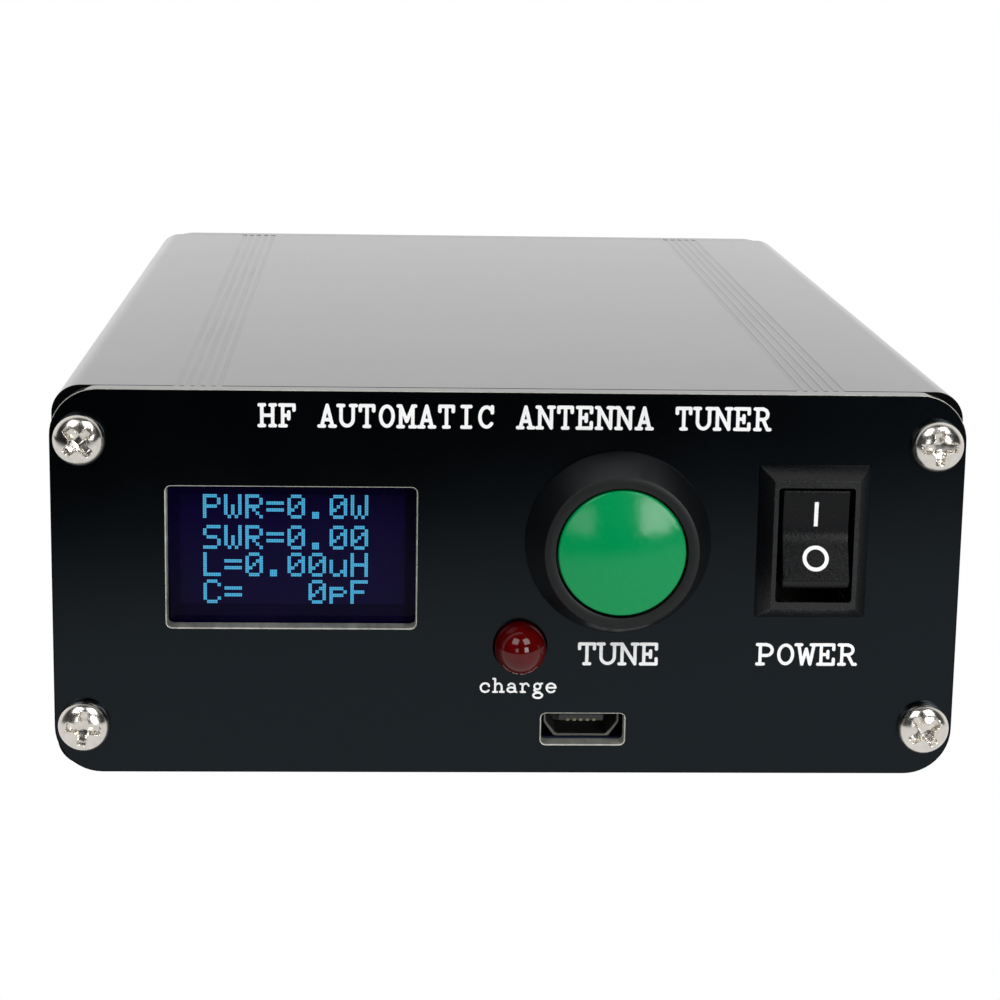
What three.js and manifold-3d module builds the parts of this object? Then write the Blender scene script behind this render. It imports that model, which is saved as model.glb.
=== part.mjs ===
// An automatic antenna tuner in a split aluminium instrument case, with a battery inside.
// Millimetres, +Z up. The origin is the middle of the case's underside: the front panel faces -Y,
// the antenna and radio sockets face +Y.
import * as THREE from "three";
import { ConvexGeometry } from "three/addons/geometries/ConvexGeometry.js";
import { mergeVertices } from "three/addons/utils/BufferGeometryUtils.js";
import Module from "manifold-3d";

const wasm = await Module();
wasm.setup();

// ---- driving dimensions ----

const SEAT = 0.1; // between two faces that rest on each other
const CLEARANCE = 0.3; // round a piece in its hole

const CASE = { width: 88, height: 38, depth: 130, wall: 1.6, corner: 2.8 };
const PANEL = { thickness: 2, corner: 4.6 };
const GROOVES = { fromSide: 14, count: 5, pitch: 1, width: 0.45, depth: 0.35 };
const SPLIT = { tongue: 0.9, below: 1.5, above: 1.5 }; // the top shell's lip inside the bottom shell
const CHANNEL = { fromSide: 2.9, fromFlat: 4.85, radius: 2.7 }; // the case screws' channels
const CASE_SCREW = { head: 2.5, headHeight: 1.9, shank: 1.5, length: 8, recess: 2.9, slot: 0.7 };
// The turn of each screw's cross recess, in degrees: front then rear, top left first.
const RECESS_TURNS = { front: [42, 3, -6, 36], rear: [20, 71, 55, 8] };

const WINDOW = { fromLeft: 23, z: 21.6, width: 24, height: 13.9, corner: 0.5 };
const GLASS = { width: 26.7, height: 19.3, thickness: 1.5, behindPanel: 0.4, bottom: 10.1 };
const DISPLAY_BOARD = { width: 27.3, height: 27.8, thickness: 1.2, bottom: 6.7, hole: 1, inset: 2 };
const HEADER = { width: 10.2, height: 2.5, depth: 2.5, fromTop: 1.2 };
const RIBBON = { width: 10, thickness: 1, back: 7 };

const BUTTON = { fromRight: 33.5, z: 23.4, travel: 2 };
const BEZEL = { flange: 1.1, lean: 1.5, height: 5, rim: 0.4, bore: 6.3 };
const BARREL = { radius: 7.9, wall: 0.8, length: 15, floor: 1.5, step: 2.5 };
const CAP = { radius: 6.1, edge: 5, dome: 0.9, flange: 6.8, flangeDepth: 1, stem: 1.8, stemEnd: 8.5 };
const BUTTON_NUT = { wall: 1.6, thickness: 3 };
const CONTACT_DISC = { radius: 5.2, thickness: 0.5 };
const BUTTON_BLADE = { spread: 4, width: 3, thickness: 0.8, reach: 4 };
const BUTTON_SPRING = { radius: 1.7, wire: 0.25, turns: 4 };

const SWITCH = { fromRight: 14.6, z: 23.6, width: 8.6, height: 13.6, depth: 10.5, floor: 1.5 };
const SWITCH_BEZEL = { width: 10.8, height: 15.2, wall: 0.7, draft: 0.3, bevel: 1, proud: 2 };
const SWITCH_OPENING = { width: 7.4, height: 11.3, lip: 0.6, inner: 12.4 };
const SWITCH_CLIP = { proud: 0.7, height: 5, length: 2.5 };
const ROCKER = { width: 6.5, half: 4.29, rise: 6.3, dish: 0.8, pivot: 3.7, tilt: 9.7, pin: 0.9 };
const ROCKER_END = { out: 0.87, drop: 1.22, foot: 4.5, footRise: 1, hub: 1.8, hubDrop: 1.6 };
const PLUNGER = { radius: 0.9, start: 0.4, tip: 4.1 };
const BLADE = { width: 3, half: 4.6, thickness: 0.4, y: 7.9, tilt: 5 };
const SWITCH_TERMINAL = { width: 4, thickness: 0.8, end: 17, contact: 4.2 };

const LED = { fromBarrel: 1.4, z: 12.9, radius: 2.5, straight: 1, flange: 2.9, flangeDepth: 1 };
const LED_LEADS = { spread: 1.27, thickness: 0.5, back: 4.5 };

const USB = { fromLight: 6.3, z: 4.5, width: 8.15, height: 3.08, corner: 0.4 };
const USB_SHELL = { width: 7.5, height: 2.7, depth: 5.4, wall: 0.25, bevelWide: 1.1, bevelHigh: 1.5 };
const USB_TONGUE = { width: 4.4, thickness: 0.6, length: 4, back: 1, gap: 0.35 };
const CHARGER_BOARD = { width: 17, length: 28, thickness: 1.2 };
const BATTERY = { fromSocket: 17.5, width: 40, length: 60, height: 6, corner: 2.5, y: 2 };
const BATTERY_LEAD = { radius: 0.8, height: 2.5 };

const MAIN_BOARD = { bottom: 10.4, thickness: 1.6, front: 15, back: 20, edge: 0.4 };
const SLOT_RIB = { reach: 1.8, thickness: 1 };
const RELAY = { length: 15, width: 10.4, height: 11.2, seam: 0.3, count: 7 };
const RELAY_ROWS = { x: 28, y: -5 };
const TOROID = { radius: 8.7, hole: 4.4, width: 7, count: 4, pitch: 12.5, firstY: -34, x: -8 };
const AIR_COIL = { radius: 3.6, wire: 0.6, turns: 5, pitch: 1.9, count: 3, firstY: -34, x: 9 };
const AIR_COIL_GAP = 13;
const TRANSFORMER = { width: 22, depth: 10, height: 11, hole: 2.6, spread: 5.5, y: 36 };
const CHIP = { size: 10, height: 1.2, x: 9, y: 8 };
const REGULATOR = { x: -8, y: 22, width: 10, body: 4.5, bodyHeight: 9, tab: 1.3, tabHeight: 15.5 };
const SINGLE_RELAY_Y = 23;

const SOCKET = { spread: 24, z: 19, barrel: 7.94, bore: 6.1, reach: 14, notch: 1.6, notchDepth: 1 };
const SOCKET_FLANGE = { width: 1.56, thickness: 2.5 };
const INSULATOR = { back: 6, ledge: 3, boss: 4.7, bossEnd: 12.5 };
const CENTRE_CONTACT = { radius: 2.6, hole: 2.02, holeDepth: 11, back: 12 };
const SOCKET_NUT = { wall: 1.56, thickness: 2.4 };
const SOCKET_WIRE = { radius: 0.8, drop: 3.4 };

const GROUND_SCREW = { radius: 2, head: 3.6, headHeight: 2.4, reach: 11 };
const GROUND_NUT = { flats: 7, thickness: 3.2 };

// ---- values that follow from them ----

const halfWidth = CASE.width / 2;
const halfDepth = CASE.depth / 2;
const innerHalf = halfWidth - CASE.wall;
const splitZ = CASE.height / 2;
const shellEnd = halfDepth - PANEL.thickness - SEAT;
const panelBack = -halfDepth + PANEL.thickness;
const rearInside = halfDepth - PANEL.thickness;
const screwX = halfWidth - CHANNEL.fromSide;
const screwZ = [CASE.height - CHANNEL.fromFlat, CHANNEL.fromFlat];
const windowX = -halfWidth + WINDOW.fromLeft;
const buttonX = halfWidth - BUTTON.fromRight;
const switchX = halfWidth - SWITCH.fromRight;
const boardTop = MAIN_BOARD.bottom + MAIN_BOARD.thickness;
const boardFront = -halfDepth + MAIN_BOARD.front;
const boardBack = halfDepth - MAIN_BOARD.back;
const bezelBase = BARREL.radius + BEZEL.flange;
const barrelBore = BARREL.radius - BARREL.wall;
const ledX = buttonX - BARREL.radius - LED.fromBarrel;
const usbX = ledX + USB.fromLight;
const batteryX = usbX - BATTERY.fromSocket;
const socketFlange = SOCKET.barrel + SOCKET_FLANGE.width;
const usbBottom = USB.z - USB_SHELL.height / 2;
const chargerTop = usbBottom - SEAT;

// ---- materials ----

function finish(color, roughness, metalness) {
  return new THREE.MeshStandardMaterial({ color, roughness, metalness });
}

const blackAnodised = finish(0x17181a, 0.42, 0.75);
const nickel = finish(0xc9c7c0, 0.25, 1);
const brass = finish(0xc9a44c, 0.3, 1);
const blackPlastic = finish(0x141516, 0.5, 0);
const greenPlastic = finish(0x189a58, 0.3, 0);
const redLens = finish(0x8a1018, 0.1, 0);
const displayGlass = finish(0x0b0a24, 0.08, 0);
const greenBoard = finish(0x14532d, 0.5, 0);
const blueBoard = finish(0x12306b, 0.5, 0);
const relayPlastic = finish(0x1f4f8a, 0.4, 0);
const redCore = finish(0x8c2f23, 0.5, 0);
const copper = finish(0xb87333, 0.3, 1);
const silverFoil = finish(0xa9abad, 0.4, 0.6);
const redWire = finish(0xa31515, 0.45, 0);
const greyRibbon = finish(0x8d8f94, 0.5, 0);
const whiteInsulator = finish(0xe9e6dc, 0.35, 0);

// ---- solids ----

function solid(geometry) {
  const bare = geometry.clone();
  bare.deleteAttribute("normal");
  bare.deleteAttribute("uv");
  const merged = mergeVertices(bare, 1e-4);
  return new wasm.Manifold(
    new wasm.Mesh({
      numProp: 3,
      vertProperties: merged.attributes.position.array,
      triVerts: new Uint32Array(merged.index.array),
    }),
  );
}

function piece(name, shape, material) {
  const { vertProperties, triVerts } = shape.getMesh();
  const geometry = new THREE.BufferGeometry();
  geometry.setAttribute("position", new THREE.BufferAttribute(vertProperties, 3));
  geometry.setIndex(new THREE.BufferAttribute(triVerts, 1));
  geometry.computeVertexNormals();
  const mesh = new THREE.Mesh(geometry, material);
  mesh.name = name;
  return mesh;
}

function groupAt(x, y, z, pieces) {
  const group = new THREE.Group();
  group.position.set(x, y, z);
  group.add(...pieces);
  return group;
}

function block([x0, x1], [y0, y1], [z0, z1]) {
  const geometry = new THREE.BoxGeometry(x1 - x0, y1 - y0, z1 - z0);
  return solid(geometry.translate((x0 + x1) / 2, (y0 + y1) / 2, (z0 + z1) / 2));
}

function span(middle, size) {
  return [middle - size / 2, middle + size / 2];
}

// A round bar along Y.
function rod(radius, [y0, y1], x = 0, z = 0, sides = 20) {
  const geometry = new THREE.CylinderGeometry(radius, radius, y1 - y0, sides);
  return solid(geometry.translate(x, (y0 + y1) / 2, z));
}

// A round bar along X.
function crossRod(radius, [x0, x1], y = 0, z = 0, sides = 16) {
  const geometry = new THREE.CylinderGeometry(radius, radius, x1 - x0, sides);
  return solid(geometry.rotateZ(Math.PI / 2).translate((x0 + x1) / 2, y, z));
}

// An outline drawn in X and Z, extruded along Y.
function slab(outline, [y0, y1], curveSegments = 6) {
  const geometry = new THREE.ExtrudeGeometry(outline, {
    depth: y1 - y0,
    bevelEnabled: false,
    curveSegments,
  });
  return solid(geometry.rotateX(Math.PI / 2).translate(0, y1, 0));
}

// An outline drawn in Y and Z, extruded along X.
function strip(outline, [x0, x1], curveSegments = 10) {
  const geometry = new THREE.ExtrudeGeometry(outline, {
    depth: x1 - x0,
    bevelEnabled: false,
    curveSegments,
  });
  const turn = new THREE.Matrix4().makeBasis(
    new THREE.Vector3(0, 1, 0),
    new THREE.Vector3(0, 0, 1),
    new THREE.Vector3(1, 0, 0),
  );
  return solid(geometry.applyMatrix4(turn).translate(x0, 0, 0));
}

// A body of revolution about Y. The profile runs from its -Y end round the outside to its +Y end.
function turned(profile, sides = 28) {
  const points = profile.map(([radius, y]) => new THREE.Vector2(radius, y));
  return solid(new THREE.LatheGeometry(points, sides));
}

function roundedRectangle(width, height, corner, x = 0, z = 0) {
  const [left, right] = span(x, width);
  const [low, high] = span(z, height);
  const quarter = Math.PI / 2;
  const shape = new THREE.Shape();
  shape.moveTo(left + corner, low);
  shape.lineTo(right - corner, low);
  shape.absarc(right - corner, low + corner, corner, -quarter, 0, false);
  shape.lineTo(right, high - corner);
  shape.absarc(right - corner, high - corner, corner, 0, quarter, false);
  shape.lineTo(left + corner, high);
  shape.absarc(left + corner, high - corner, corner, quarter, 2 * quarter, false);
  shape.lineTo(left, low + corner);
  shape.absarc(left + corner, low + corner, corner, 2 * quarter, 3 * quarter, false);
  return shape;
}

function polygon(points) {
  return new THREE.Shape(points.map(([a, b]) => new THREE.Vector2(a, b)));
}

function hexagon(flats) {
  const corner = flats / Math.sqrt(3);
  const points = [];
  for (let i = 0; i < 6; i += 1) {
    const angle = (i * Math.PI) / 3;
    points.push([corner * Math.cos(angle), corner * Math.sin(angle)]);
  }
  return polygon(points);
}

function hexNut(flats, [y0, y1], bore) {
  return slab(hexagon(flats), [y0, y1]).subtract(rod(bore, [y0 - 1, y1 + 1]));
}

// A round bar along a smooth curve through the points.
function wire(points, radius, steps, sides = 8) {
  const path = new THREE.CatmullRomCurve3(points.map((p) => new THREE.Vector3(...p)));
  return swept(path, radius, steps, sides);
}

function swept(path, radius, steps, sides) {
  const section = [];
  for (let i = 0; i < sides; i += 1) {
    const angle = (2 * Math.PI * i) / sides;
    section.push([radius * Math.cos(angle), radius * Math.sin(angle)]);
  }
  return solid(new THREE.ExtrudeGeometry(polygon(section), { steps, extrudePath: path }));
}

class Helix extends THREE.Curve {
  constructor(radius, length, turns) {
    super();
    this.radius = radius;
    this.length = length;
    this.turns = turns;
  }

  getPoint(t) {
    const angle = 2 * Math.PI * this.turns * t;
    const x = this.radius * Math.cos(angle);
    const z = this.radius * Math.sin(angle);
    return new THREE.Vector3(x, this.length * t, z);
  }
}

// A coil about Y, from y = 0 to y = length.
function coil(radius, length, turns, wireRadius, sides = 5) {
  const stepsPerTurn = 9;
  return swept(new Helix(radius, length, turns), wireRadius, turns * stepsPerTurn, sides);
}

// ---- the case ----

function caseTube() {
  const outside = roundedRectangle(CASE.width, CASE.height, CASE.corner, 0, splitZ);
  const insideCorner = Math.max(CASE.corner - CASE.wall, CASE.corner / 4);
  const inside = roundedRectangle(
    CASE.width - 2 * CASE.wall,
    CASE.height - 2 * CASE.wall,
    insideCorner,
    0,
    splitZ,
  );
  const hollow = slab(inside, [-halfDepth, halfDepth]);
  return slab(outside, [-shellEnd, shellEnd]).subtract(hollow);
}

// Fine grooves along the flat face at height z.
function cutGrooves(shell, z) {
  let cut = shell;
  for (const side of [-1, 1]) {
    for (let i = 0; i < GROOVES.count; i += 1) {
      const offset = (i - (GROOVES.count - 1) / 2) * GROOVES.pitch;
      const x = side * (halfWidth - GROOVES.fromSide) + offset;
      cut = cut.subtract(
        block(span(x, GROOVES.width), [-halfDepth, halfDepth], span(z, 2 * GROOVES.depth)),
      );
    }
  }
  return cut;
}

function withScrewChannels(shell, z) {
  let made = shell;
  for (const x of [-screwX, screwX]) {
    made = made.add(rod(CHANNEL.radius, [-shellEnd, shellEnd], x, z, 16));
  }
  for (const x of [-screwX, screwX]) {
    made = made.subtract(
      rod(CASE_SCREW.shank + CLEARANCE, [-halfDepth, halfDepth], x, z, 12),
    );
  }
  return made;
}

function topShell() {
  const half = block(
    [-halfWidth, halfWidth],
    [-halfDepth, halfDepth],
    [splitZ + SEAT / 2, CASE.height],
  );
  let shell = withScrewChannels(caseTube().intersect(half), screwZ[0]);
  for (const side of [-1, 1]) {
    const lip = [side * (innerHalf - SEAT), side * (innerHalf - SEAT - SPLIT.tongue)];
    const root = [side * (innerHalf + CASE.wall / 2), side * (innerHalf - SPLIT.tongue)];
    const ends = [-shellEnd, shellEnd];
    const ascending = (pair) => pair.sort((a, b) => a - b);
    shell = shell
      .add(block(ascending(lip), ends, [splitZ - SPLIT.below, splitZ + SPLIT.above]))
      .add(block(ascending(root), ends, [splitZ + SEAT / 2, splitZ + SPLIT.above]));
  }
  return cutGrooves(shell, CASE.height);
}

function bottomShell() {
  const half = block([-halfWidth, halfWidth], [-halfDepth, halfDepth], [0, splitZ - SEAT / 2]);
  let shell = withScrewChannels(caseTube().intersect(half), screwZ[1]);
  const slotEdges = [
    [MAIN_BOARD.bottom - SEAT - SLOT_RIB.thickness, MAIN_BOARD.bottom - SEAT],
    [boardTop + SEAT, boardTop + SEAT + SLOT_RIB.thickness],
  ];
  for (const heights of slotEdges) {
    const ribs = block([-innerHalf - SEAT, innerHalf + SEAT], [-shellEnd, shellEnd], heights);
    const between = innerHalf - SLOT_RIB.reach;
    shell = shell.add(
      ribs.subtract(block([-between, between], [-halfDepth, halfDepth], heights)),
    );
  }
  return cutGrooves(shell, 0);
}

function panelPlate(ends) {
  const outline = roundedRectangle(CASE.width, CASE.height, PANEL.corner, 0, splitZ);
  let plate = slab(outline, ends, 6);
  for (const x of [-screwX, screwX]) {
    for (const z of screwZ) {
      plate = plate.subtract(
        rod(CASE_SCREW.shank + CLEARANCE, [-halfDepth - 1, halfDepth + 1], x, z, 12),
      );
    }
  }
  return plate;
}

function frontPanel() {
  const through = [-halfDepth - 1, panelBack + 1];
  const opening = roundedRectangle(
    WINDOW.width,
    WINDOW.height,
    WINDOW.corner,
    windowX,
    WINDOW.z,
  );
  const usb = roundedRectangle(USB.width, USB.height, USB.corner, usbX, USB.z);
  const switchHole = [span(switchX, SWITCH.width + CLEARANCE), through];
  return panelPlate([-halfDepth, panelBack])
    .subtract(slab(opening, through, 3))
    .subtract(slab(usb, through, 3))
    .subtract(rod(LED.radius + CLEARANCE, through, ledX, LED.z))
    .subtract(rod(BARREL.radius + CLEARANCE, through, buttonX, BUTTON.z, 28))
    .subtract(block(...switchHole, span(SWITCH.z, SWITCH.height + CLEARANCE)));
}

function rearPanel() {
  const through = [rearInside - 1, halfDepth + 1];
  let panel = panelPlate([rearInside, halfDepth]);
  for (const x of [-SOCKET.spread, SOCKET.spread]) {
    panel = panel.subtract(rod(SOCKET.barrel + CLEARANCE, through, x, SOCKET.z, 28));
  }
  return panel.subtract(rod(GROUND_SCREW.radius + CLEARANCE, through, 0, SOCKET.z, 16));
}

// A pan head screw along Y, its head outside y = 0 towards -Y.
function caseScrew() {
  const { head, headHeight, shank, length } = CASE_SCREW;
  const profile = [
    [0, -headHeight],
    [head * 0.7, -headHeight * 0.85],
    [head, -headHeight * 0.36],
    [head, -SEAT],
    [shank, -SEAT],
    [shank, length - shank / 2],
    [shank / 2, length],
    [0, length],
  ];
  const depth = [-headHeight - 1, -headHeight * 0.4];
  const long = span(0, CASE_SCREW.recess);
  const narrow = span(0, CASE_SCREW.slot);
  return turned(profile, 16)
    .subtract(block(long, depth, narrow))
    .subtract(block(narrow, depth, long));
}

function caseScrews(end, facing) {
  const places = ["top_left", "top_right", "bottom_left", "bottom_right"];
  return places.map((place, i) => {
    const screw = piece(`${end}_screw_${place}`, caseScrew(), nickel);
    const turn = THREE.MathUtils.degToRad(RECESS_TURNS[end][i]);
    const x = (i % 2 ? screwX : -screwX) * facing;
    screw.position.set(x, -halfDepth * facing, screwZ[Math.floor(i / 2)]);
    screw.rotation.set(0, turn, facing > 0 ? 0 : Math.PI, "ZYX");
    return screw;
  });
}

// ---- the display ----

// Its origin is on the front panel's back face, at the underside's height.
function display() {
  const glassFront = GLASS.behindPanel;
  const boardY = glassFront + GLASS.thickness + SEAT;
  const boardEnd = boardY + DISPLAY_BOARD.thickness;
  const top = DISPLAY_BOARD.bottom + DISPLAY_BOARD.height;
  const glass = block(
    span(0, GLASS.width),
    [glassFront, glassFront + GLASS.thickness],
    [GLASS.bottom, GLASS.bottom + GLASS.height],
  );
  let board = block(
    span(0, DISPLAY_BOARD.width),
    [boardY, boardEnd],
    [DISPLAY_BOARD.bottom, top],
  );
  const holeX = DISPLAY_BOARD.width / 2 - DISPLAY_BOARD.inset;
  for (const x of [-holeX, holeX]) {
    for (const z of [DISPLAY_BOARD.bottom + DISPLAY_BOARD.inset, top - DISPLAY_BOARD.inset]) {
      board = board.subtract(rod(DISPLAY_BOARD.hole, [boardY - 1, boardEnd + 1], x, z, 12));
    }
  }
  const headerTop = top - HEADER.fromTop;
  const headerBottom = headerTop - HEADER.height;
  const headerEnd = boardEnd + HEADER.depth;
  board = board.add(
    block(span(0, HEADER.width), [boardEnd - SEAT, headerEnd], [headerBottom, headerTop]),
  );
  const start = headerEnd + SEAT;
  const ribbonTop = headerBottom + HEADER.height / 2 + RIBBON.thickness / 2;
  const drop = boardFront - panelBack + RIBBON.back;
  const foot = boardTop + SEAT;
  const ribbon = polygon([
    [start, ribbonTop],
    [start, ribbonTop - RIBBON.thickness],
    [drop - RIBBON.thickness, ribbonTop - 2 * RIBBON.thickness],
    [drop - RIBBON.thickness, foot],
    [drop, foot],
    [drop, ribbonTop - RIBBON.thickness],
    [drop - RIBBON.thickness, ribbonTop],
  ]);
  return groupAt(windowX, panelBack, 0, [
    piece("display_glass", glass, displayGlass),
    piece("display_board", board, blueBoard),
    piece("display_cable", strip(ribbon, span(0, RIBBON.width)), greyRibbon),
  ]);
}

// ---- the tune button ----

function buttonBody() {
  const { lean, height, rim, bore } = BEZEL;
  const lip = bezelBase - lean;
  const floorY = BARREL.length - BARREL.floor;
  let body = turned(
    [
      [0, floorY],
      [barrelBore, floorY],
      [barrelBore, -BARREL.step],
      [bore, -BARREL.step],
      [bore, -height],
      [lip - rim / 2, -height],
      [lip, -height + rim / 2],
      [bezelBase, -rim],
      [bezelBase, -SEAT],
      [BARREL.radius, -SEAT],
      [BARREL.radius, BARREL.length],
      [0, BARREL.length],
    ],
    32,
  );
  for (const x of [-BUTTON_BLADE.spread, BUTTON_BLADE.spread]) {
    body = body.subtract(
      block(
        span(x, BUTTON_BLADE.thickness + 2 * SEAT),
        [floorY - 1, BARREL.length + 1],
        span(0, BUTTON_BLADE.width + 2 * SEAT),
      ),
    );
  }
  return body;
}

function buttonCap() {
  const flangeFront = -BARREL.step + SEAT;
  const flangeBack = flangeFront + CAP.flangeDepth;
  const profile = [];
  const rings = 4;
  for (let i = 0; i <= rings; i += 1) {
    const share = i / rings;
    profile.push([(CAP.radius - 0.2) * share, -CAP.edge - CAP.dome * (1 - share * share)]);
  }
  profile.push([CAP.radius, -CAP.edge + 0.3]);
  profile.push([CAP.radius, flangeFront]);
  profile.push([CAP.flange, flangeFront]);
  profile.push([CAP.flange, flangeBack]);
  profile.push([CAP.stem, flangeBack]);
  profile.push([CAP.stem, CAP.stemEnd]);
  profile.push([0, CAP.stemEnd]);
  return turned(profile, 32);
}

// Its origin is on the front panel's front face, in the middle of the button.
function tuneButton() {
  const discFront = CAP.stemEnd + SEAT;
  const discBack = discFront + CONTACT_DISC.thickness;
  const terminalFront = discBack + BUTTON.travel + SEAT;
  const floorY = BARREL.length - BARREL.floor;
  const springStart = discBack + BUTTON_SPRING.wire + SEAT;
  const springLength = floorY - BUTTON_SPRING.wire - SEAT - springStart;
  const spring = coil(
    BUTTON_SPRING.radius,
    springLength,
    BUTTON_SPRING.turns,
    BUTTON_SPRING.wire,
  );
  const springMesh = piece("button_spring", spring, nickel);
  springMesh.position.y = springStart;
  const blades = [-1, 1].map((side) =>
    piece(
      side < 0 ? "button_terminal_left" : "button_terminal_right",
      block(
        span(side * BUTTON_BLADE.spread, BUTTON_BLADE.thickness),
        [terminalFront, BARREL.length + BUTTON_BLADE.reach],
        span(0, BUTTON_BLADE.width),
      ),
      brass,
    ),
  );
  const nutFront = PANEL.thickness + SEAT;
  const nut = hexNut(
    2 * (BARREL.radius + BUTTON_NUT.wall),
    [nutFront, nutFront + BUTTON_NUT.thickness],
    BARREL.radius + CLEARANCE,
  );
  const disc = rod(CONTACT_DISC.radius, [discFront, discBack]);
  return groupAt(buttonX, -halfDepth, BUTTON.z, [
    piece("button_body", buttonBody(), blackPlastic),
    piece("button_cap", buttonCap(), greenPlastic),
    piece("button_contact", disc, brass),
    piece("button_nut", nut, nickel),
    springMesh,
    ...blades,
  ]);
}

// ---- the power switch ----

function switchHousing() {
  const ring = (width, height, y) =>
    [-1, 1].flatMap((sx) =>
      [-1, 1].map((sz) => new THREE.Vector3((sx * width) / 2, y, (sz * height) / 2)),
    );
  const { width, height, wall, draft, bevel, proud } = SWITCH_BEZEL;
  const frontInset = 2 * (draft + bevel);
  const bezel = solid(
    new ConvexGeometry([
      ...ring(width, height, -SEAT),
      ...ring(width - 2 * draft, height - 2 * draft, -wall),
      ...ring(width - frontInset, height - frontInset, -proud),
    ]),
  );
  let housing = bezel.add(
    block(span(0, SWITCH.width), [-wall, SWITCH.depth], span(0, SWITCH.height)),
  );
  const clipFront = PANEL.thickness + SEAT;
  for (const side of [-1, 1]) {
    const face = (side * SWITCH.width) / 2;
    const clip = new THREE.Shape();
    clip.moveTo(face - side * SEAT, clipFront);
    clip.lineTo(face + side * SWITCH_CLIP.proud, clipFront);
    clip.lineTo(face - side * SEAT, clipFront + SWITCH_CLIP.length);
    const wedge = new THREE.ExtrudeGeometry(clip, {
      depth: SWITCH_CLIP.height,
      bevelEnabled: false,
    });
    housing = housing.add(solid(wedge.translate(0, 0, -SWITCH_CLIP.height / 2)));
  }
  const floorY = SWITCH.depth - SWITCH.floor;
  const lipBack = -proud + SWITCH_OPENING.lip;
  const mouth = block(
    span(0, SWITCH_OPENING.width),
    [-proud - 1, floorY],
    span(0, SWITCH_OPENING.height),
  );
  const pocket = block(
    span(0, SWITCH_OPENING.width),
    [lipBack, floorY],
    span(0, SWITCH_OPENING.inner),
  );
  const pinHole = crossRod(ROCKER.pin + CLEARANCE, span(0, SWITCH.width + 2), ROCKER.pivot);
  let cut = housing.subtract(mouth).subtract(pocket).subtract(pinHole);
  for (const z of [0, -SWITCH_TERMINAL.contact]) {
    cut = cut.subtract(
      block(
        span(0, SWITCH_TERMINAL.width + 2 * SEAT),
        [floorY - 1, SWITCH.depth + 1],
        span(z, SWITCH_TERMINAL.thickness + 2 * SEAT),
      ),
    );
  }
  return cut;
}

// The rocker with its pivot at the origin and its face level, towards -Y.
function switchRocker() {
  const { half, rise, dish, width, pin } = ROCKER;
  const { out, drop, foot, footRise, hub, hubDrop } = ROCKER_END;
  const outline = new THREE.Shape();
  outline.moveTo(-rise, half);
  outline.lineTo(-rise + drop, half + out);
  outline.lineTo(-footRise, foot);
  outline.lineTo(hubDrop, hub);
  outline.lineTo(hubDrop, -hub);
  outline.lineTo(-footRise, -foot);
  outline.lineTo(-rise + drop, -half - out);
  outline.lineTo(-rise, -half);
  outline.quadraticCurveTo(-rise + 2 * dish, 0, -rise, half);
  const well = rod(PLUNGER.radius + CLEARANCE, [PLUNGER.start - SEAT, hubDrop + 1], 0, 0, 16);
  return strip(outline, span(0, width))
    .add(crossRod(pin, span(0, SWITCH.width - 2 * SEAT)))
    .subtract(well);
}

function plunger() {
  return turned(
    [
      [0, PLUNGER.start],
      [PLUNGER.radius, PLUNGER.start],
      [PLUNGER.radius, PLUNGER.tip - PLUNGER.radius],
      [PLUNGER.radius * 0.6, PLUNGER.tip - PLUNGER.radius * 0.2],
      [0, PLUNGER.tip],
    ],
    12,
  );
}

// Its origin is on the front panel's front face, in the middle of the switch. It rests switched on,
// with the rocker's upper end pressed in.
function powerSwitch() {
  const rocker = groupAt(0, ROCKER.pivot, 0, [
    piece("switch_rocker", switchRocker(), blackPlastic),
    piece("switch_plunger", plunger(), brass),
  ]);
  rocker.rotation.x = -THREE.MathUtils.degToRad(ROCKER.tilt);
  const blade = piece(
    "switch_blade",
    block(span(0, BLADE.width), [0, BLADE.thickness], span(0, 2 * BLADE.half)),
    brass,
  );
  blade.position.y = BLADE.y;
  blade.rotation.x = THREE.MathUtils.degToRad(BLADE.tilt);
  const terminals = [
    ["switch_terminal_common", 0, BLADE.y + BLADE.thickness + CLEARANCE],
    ["switch_terminal_on", -SWITCH_TERMINAL.contact, BLADE.y + BLADE.thickness + 2 * CLEARANCE],
  ].map(([name, z, front]) =>
    piece(
      name,
      block(
        span(0, SWITCH_TERMINAL.width),
        [front, SWITCH_TERMINAL.end],
        span(z, SWITCH_TERMINAL.thickness),
      ),
      brass,
    ),
  );
  return groupAt(switchX, -halfDepth, SWITCH.z, [
    piece("switch_housing", switchHousing(), blackPlastic),
    rocker,
    blade,
    ...terminals,
  ]);
}

// ---- charging: indicator, socket, board and battery ----

function chargeLed() {
  const { radius, straight, flange, flangeDepth } = LED;
  const flangeFront = PANEL.thickness + SEAT;
  const flangeBack = flangeFront + flangeDepth;
  const profile = [];
  const steps = 6;
  for (let i = 0; i <= steps; i += 1) {
    const angle = (Math.PI / 2) * (i / steps);
    profile.push([radius * Math.sin(angle), -straight - radius * Math.cos(angle)]);
  }
  profile.push([radius, flangeFront]);
  profile.push([flange, flangeFront]);
  profile.push([flange, flangeBack]);
  profile.push([0, flangeBack]);
  let led = turned(profile, 20);
  const bend = flangeBack + LED_LEADS.back;
  for (const x of [-LED_LEADS.spread, LED_LEADS.spread]) {
    const lead = span(x, LED_LEADS.thickness);
    const thick = LED_LEADS.thickness / 2;
    led = led
      .add(block(lead, [flangeBack - SEAT, bend + thick], [-thick, thick]))
      .add(block(lead, [bend - thick, bend + thick], [chargerTop + SEAT - LED.z, thick]));
  }
  return groupAt(ledX, -halfDepth, LED.z, [piece("charge_led", led, redLens)]);
}

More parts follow.
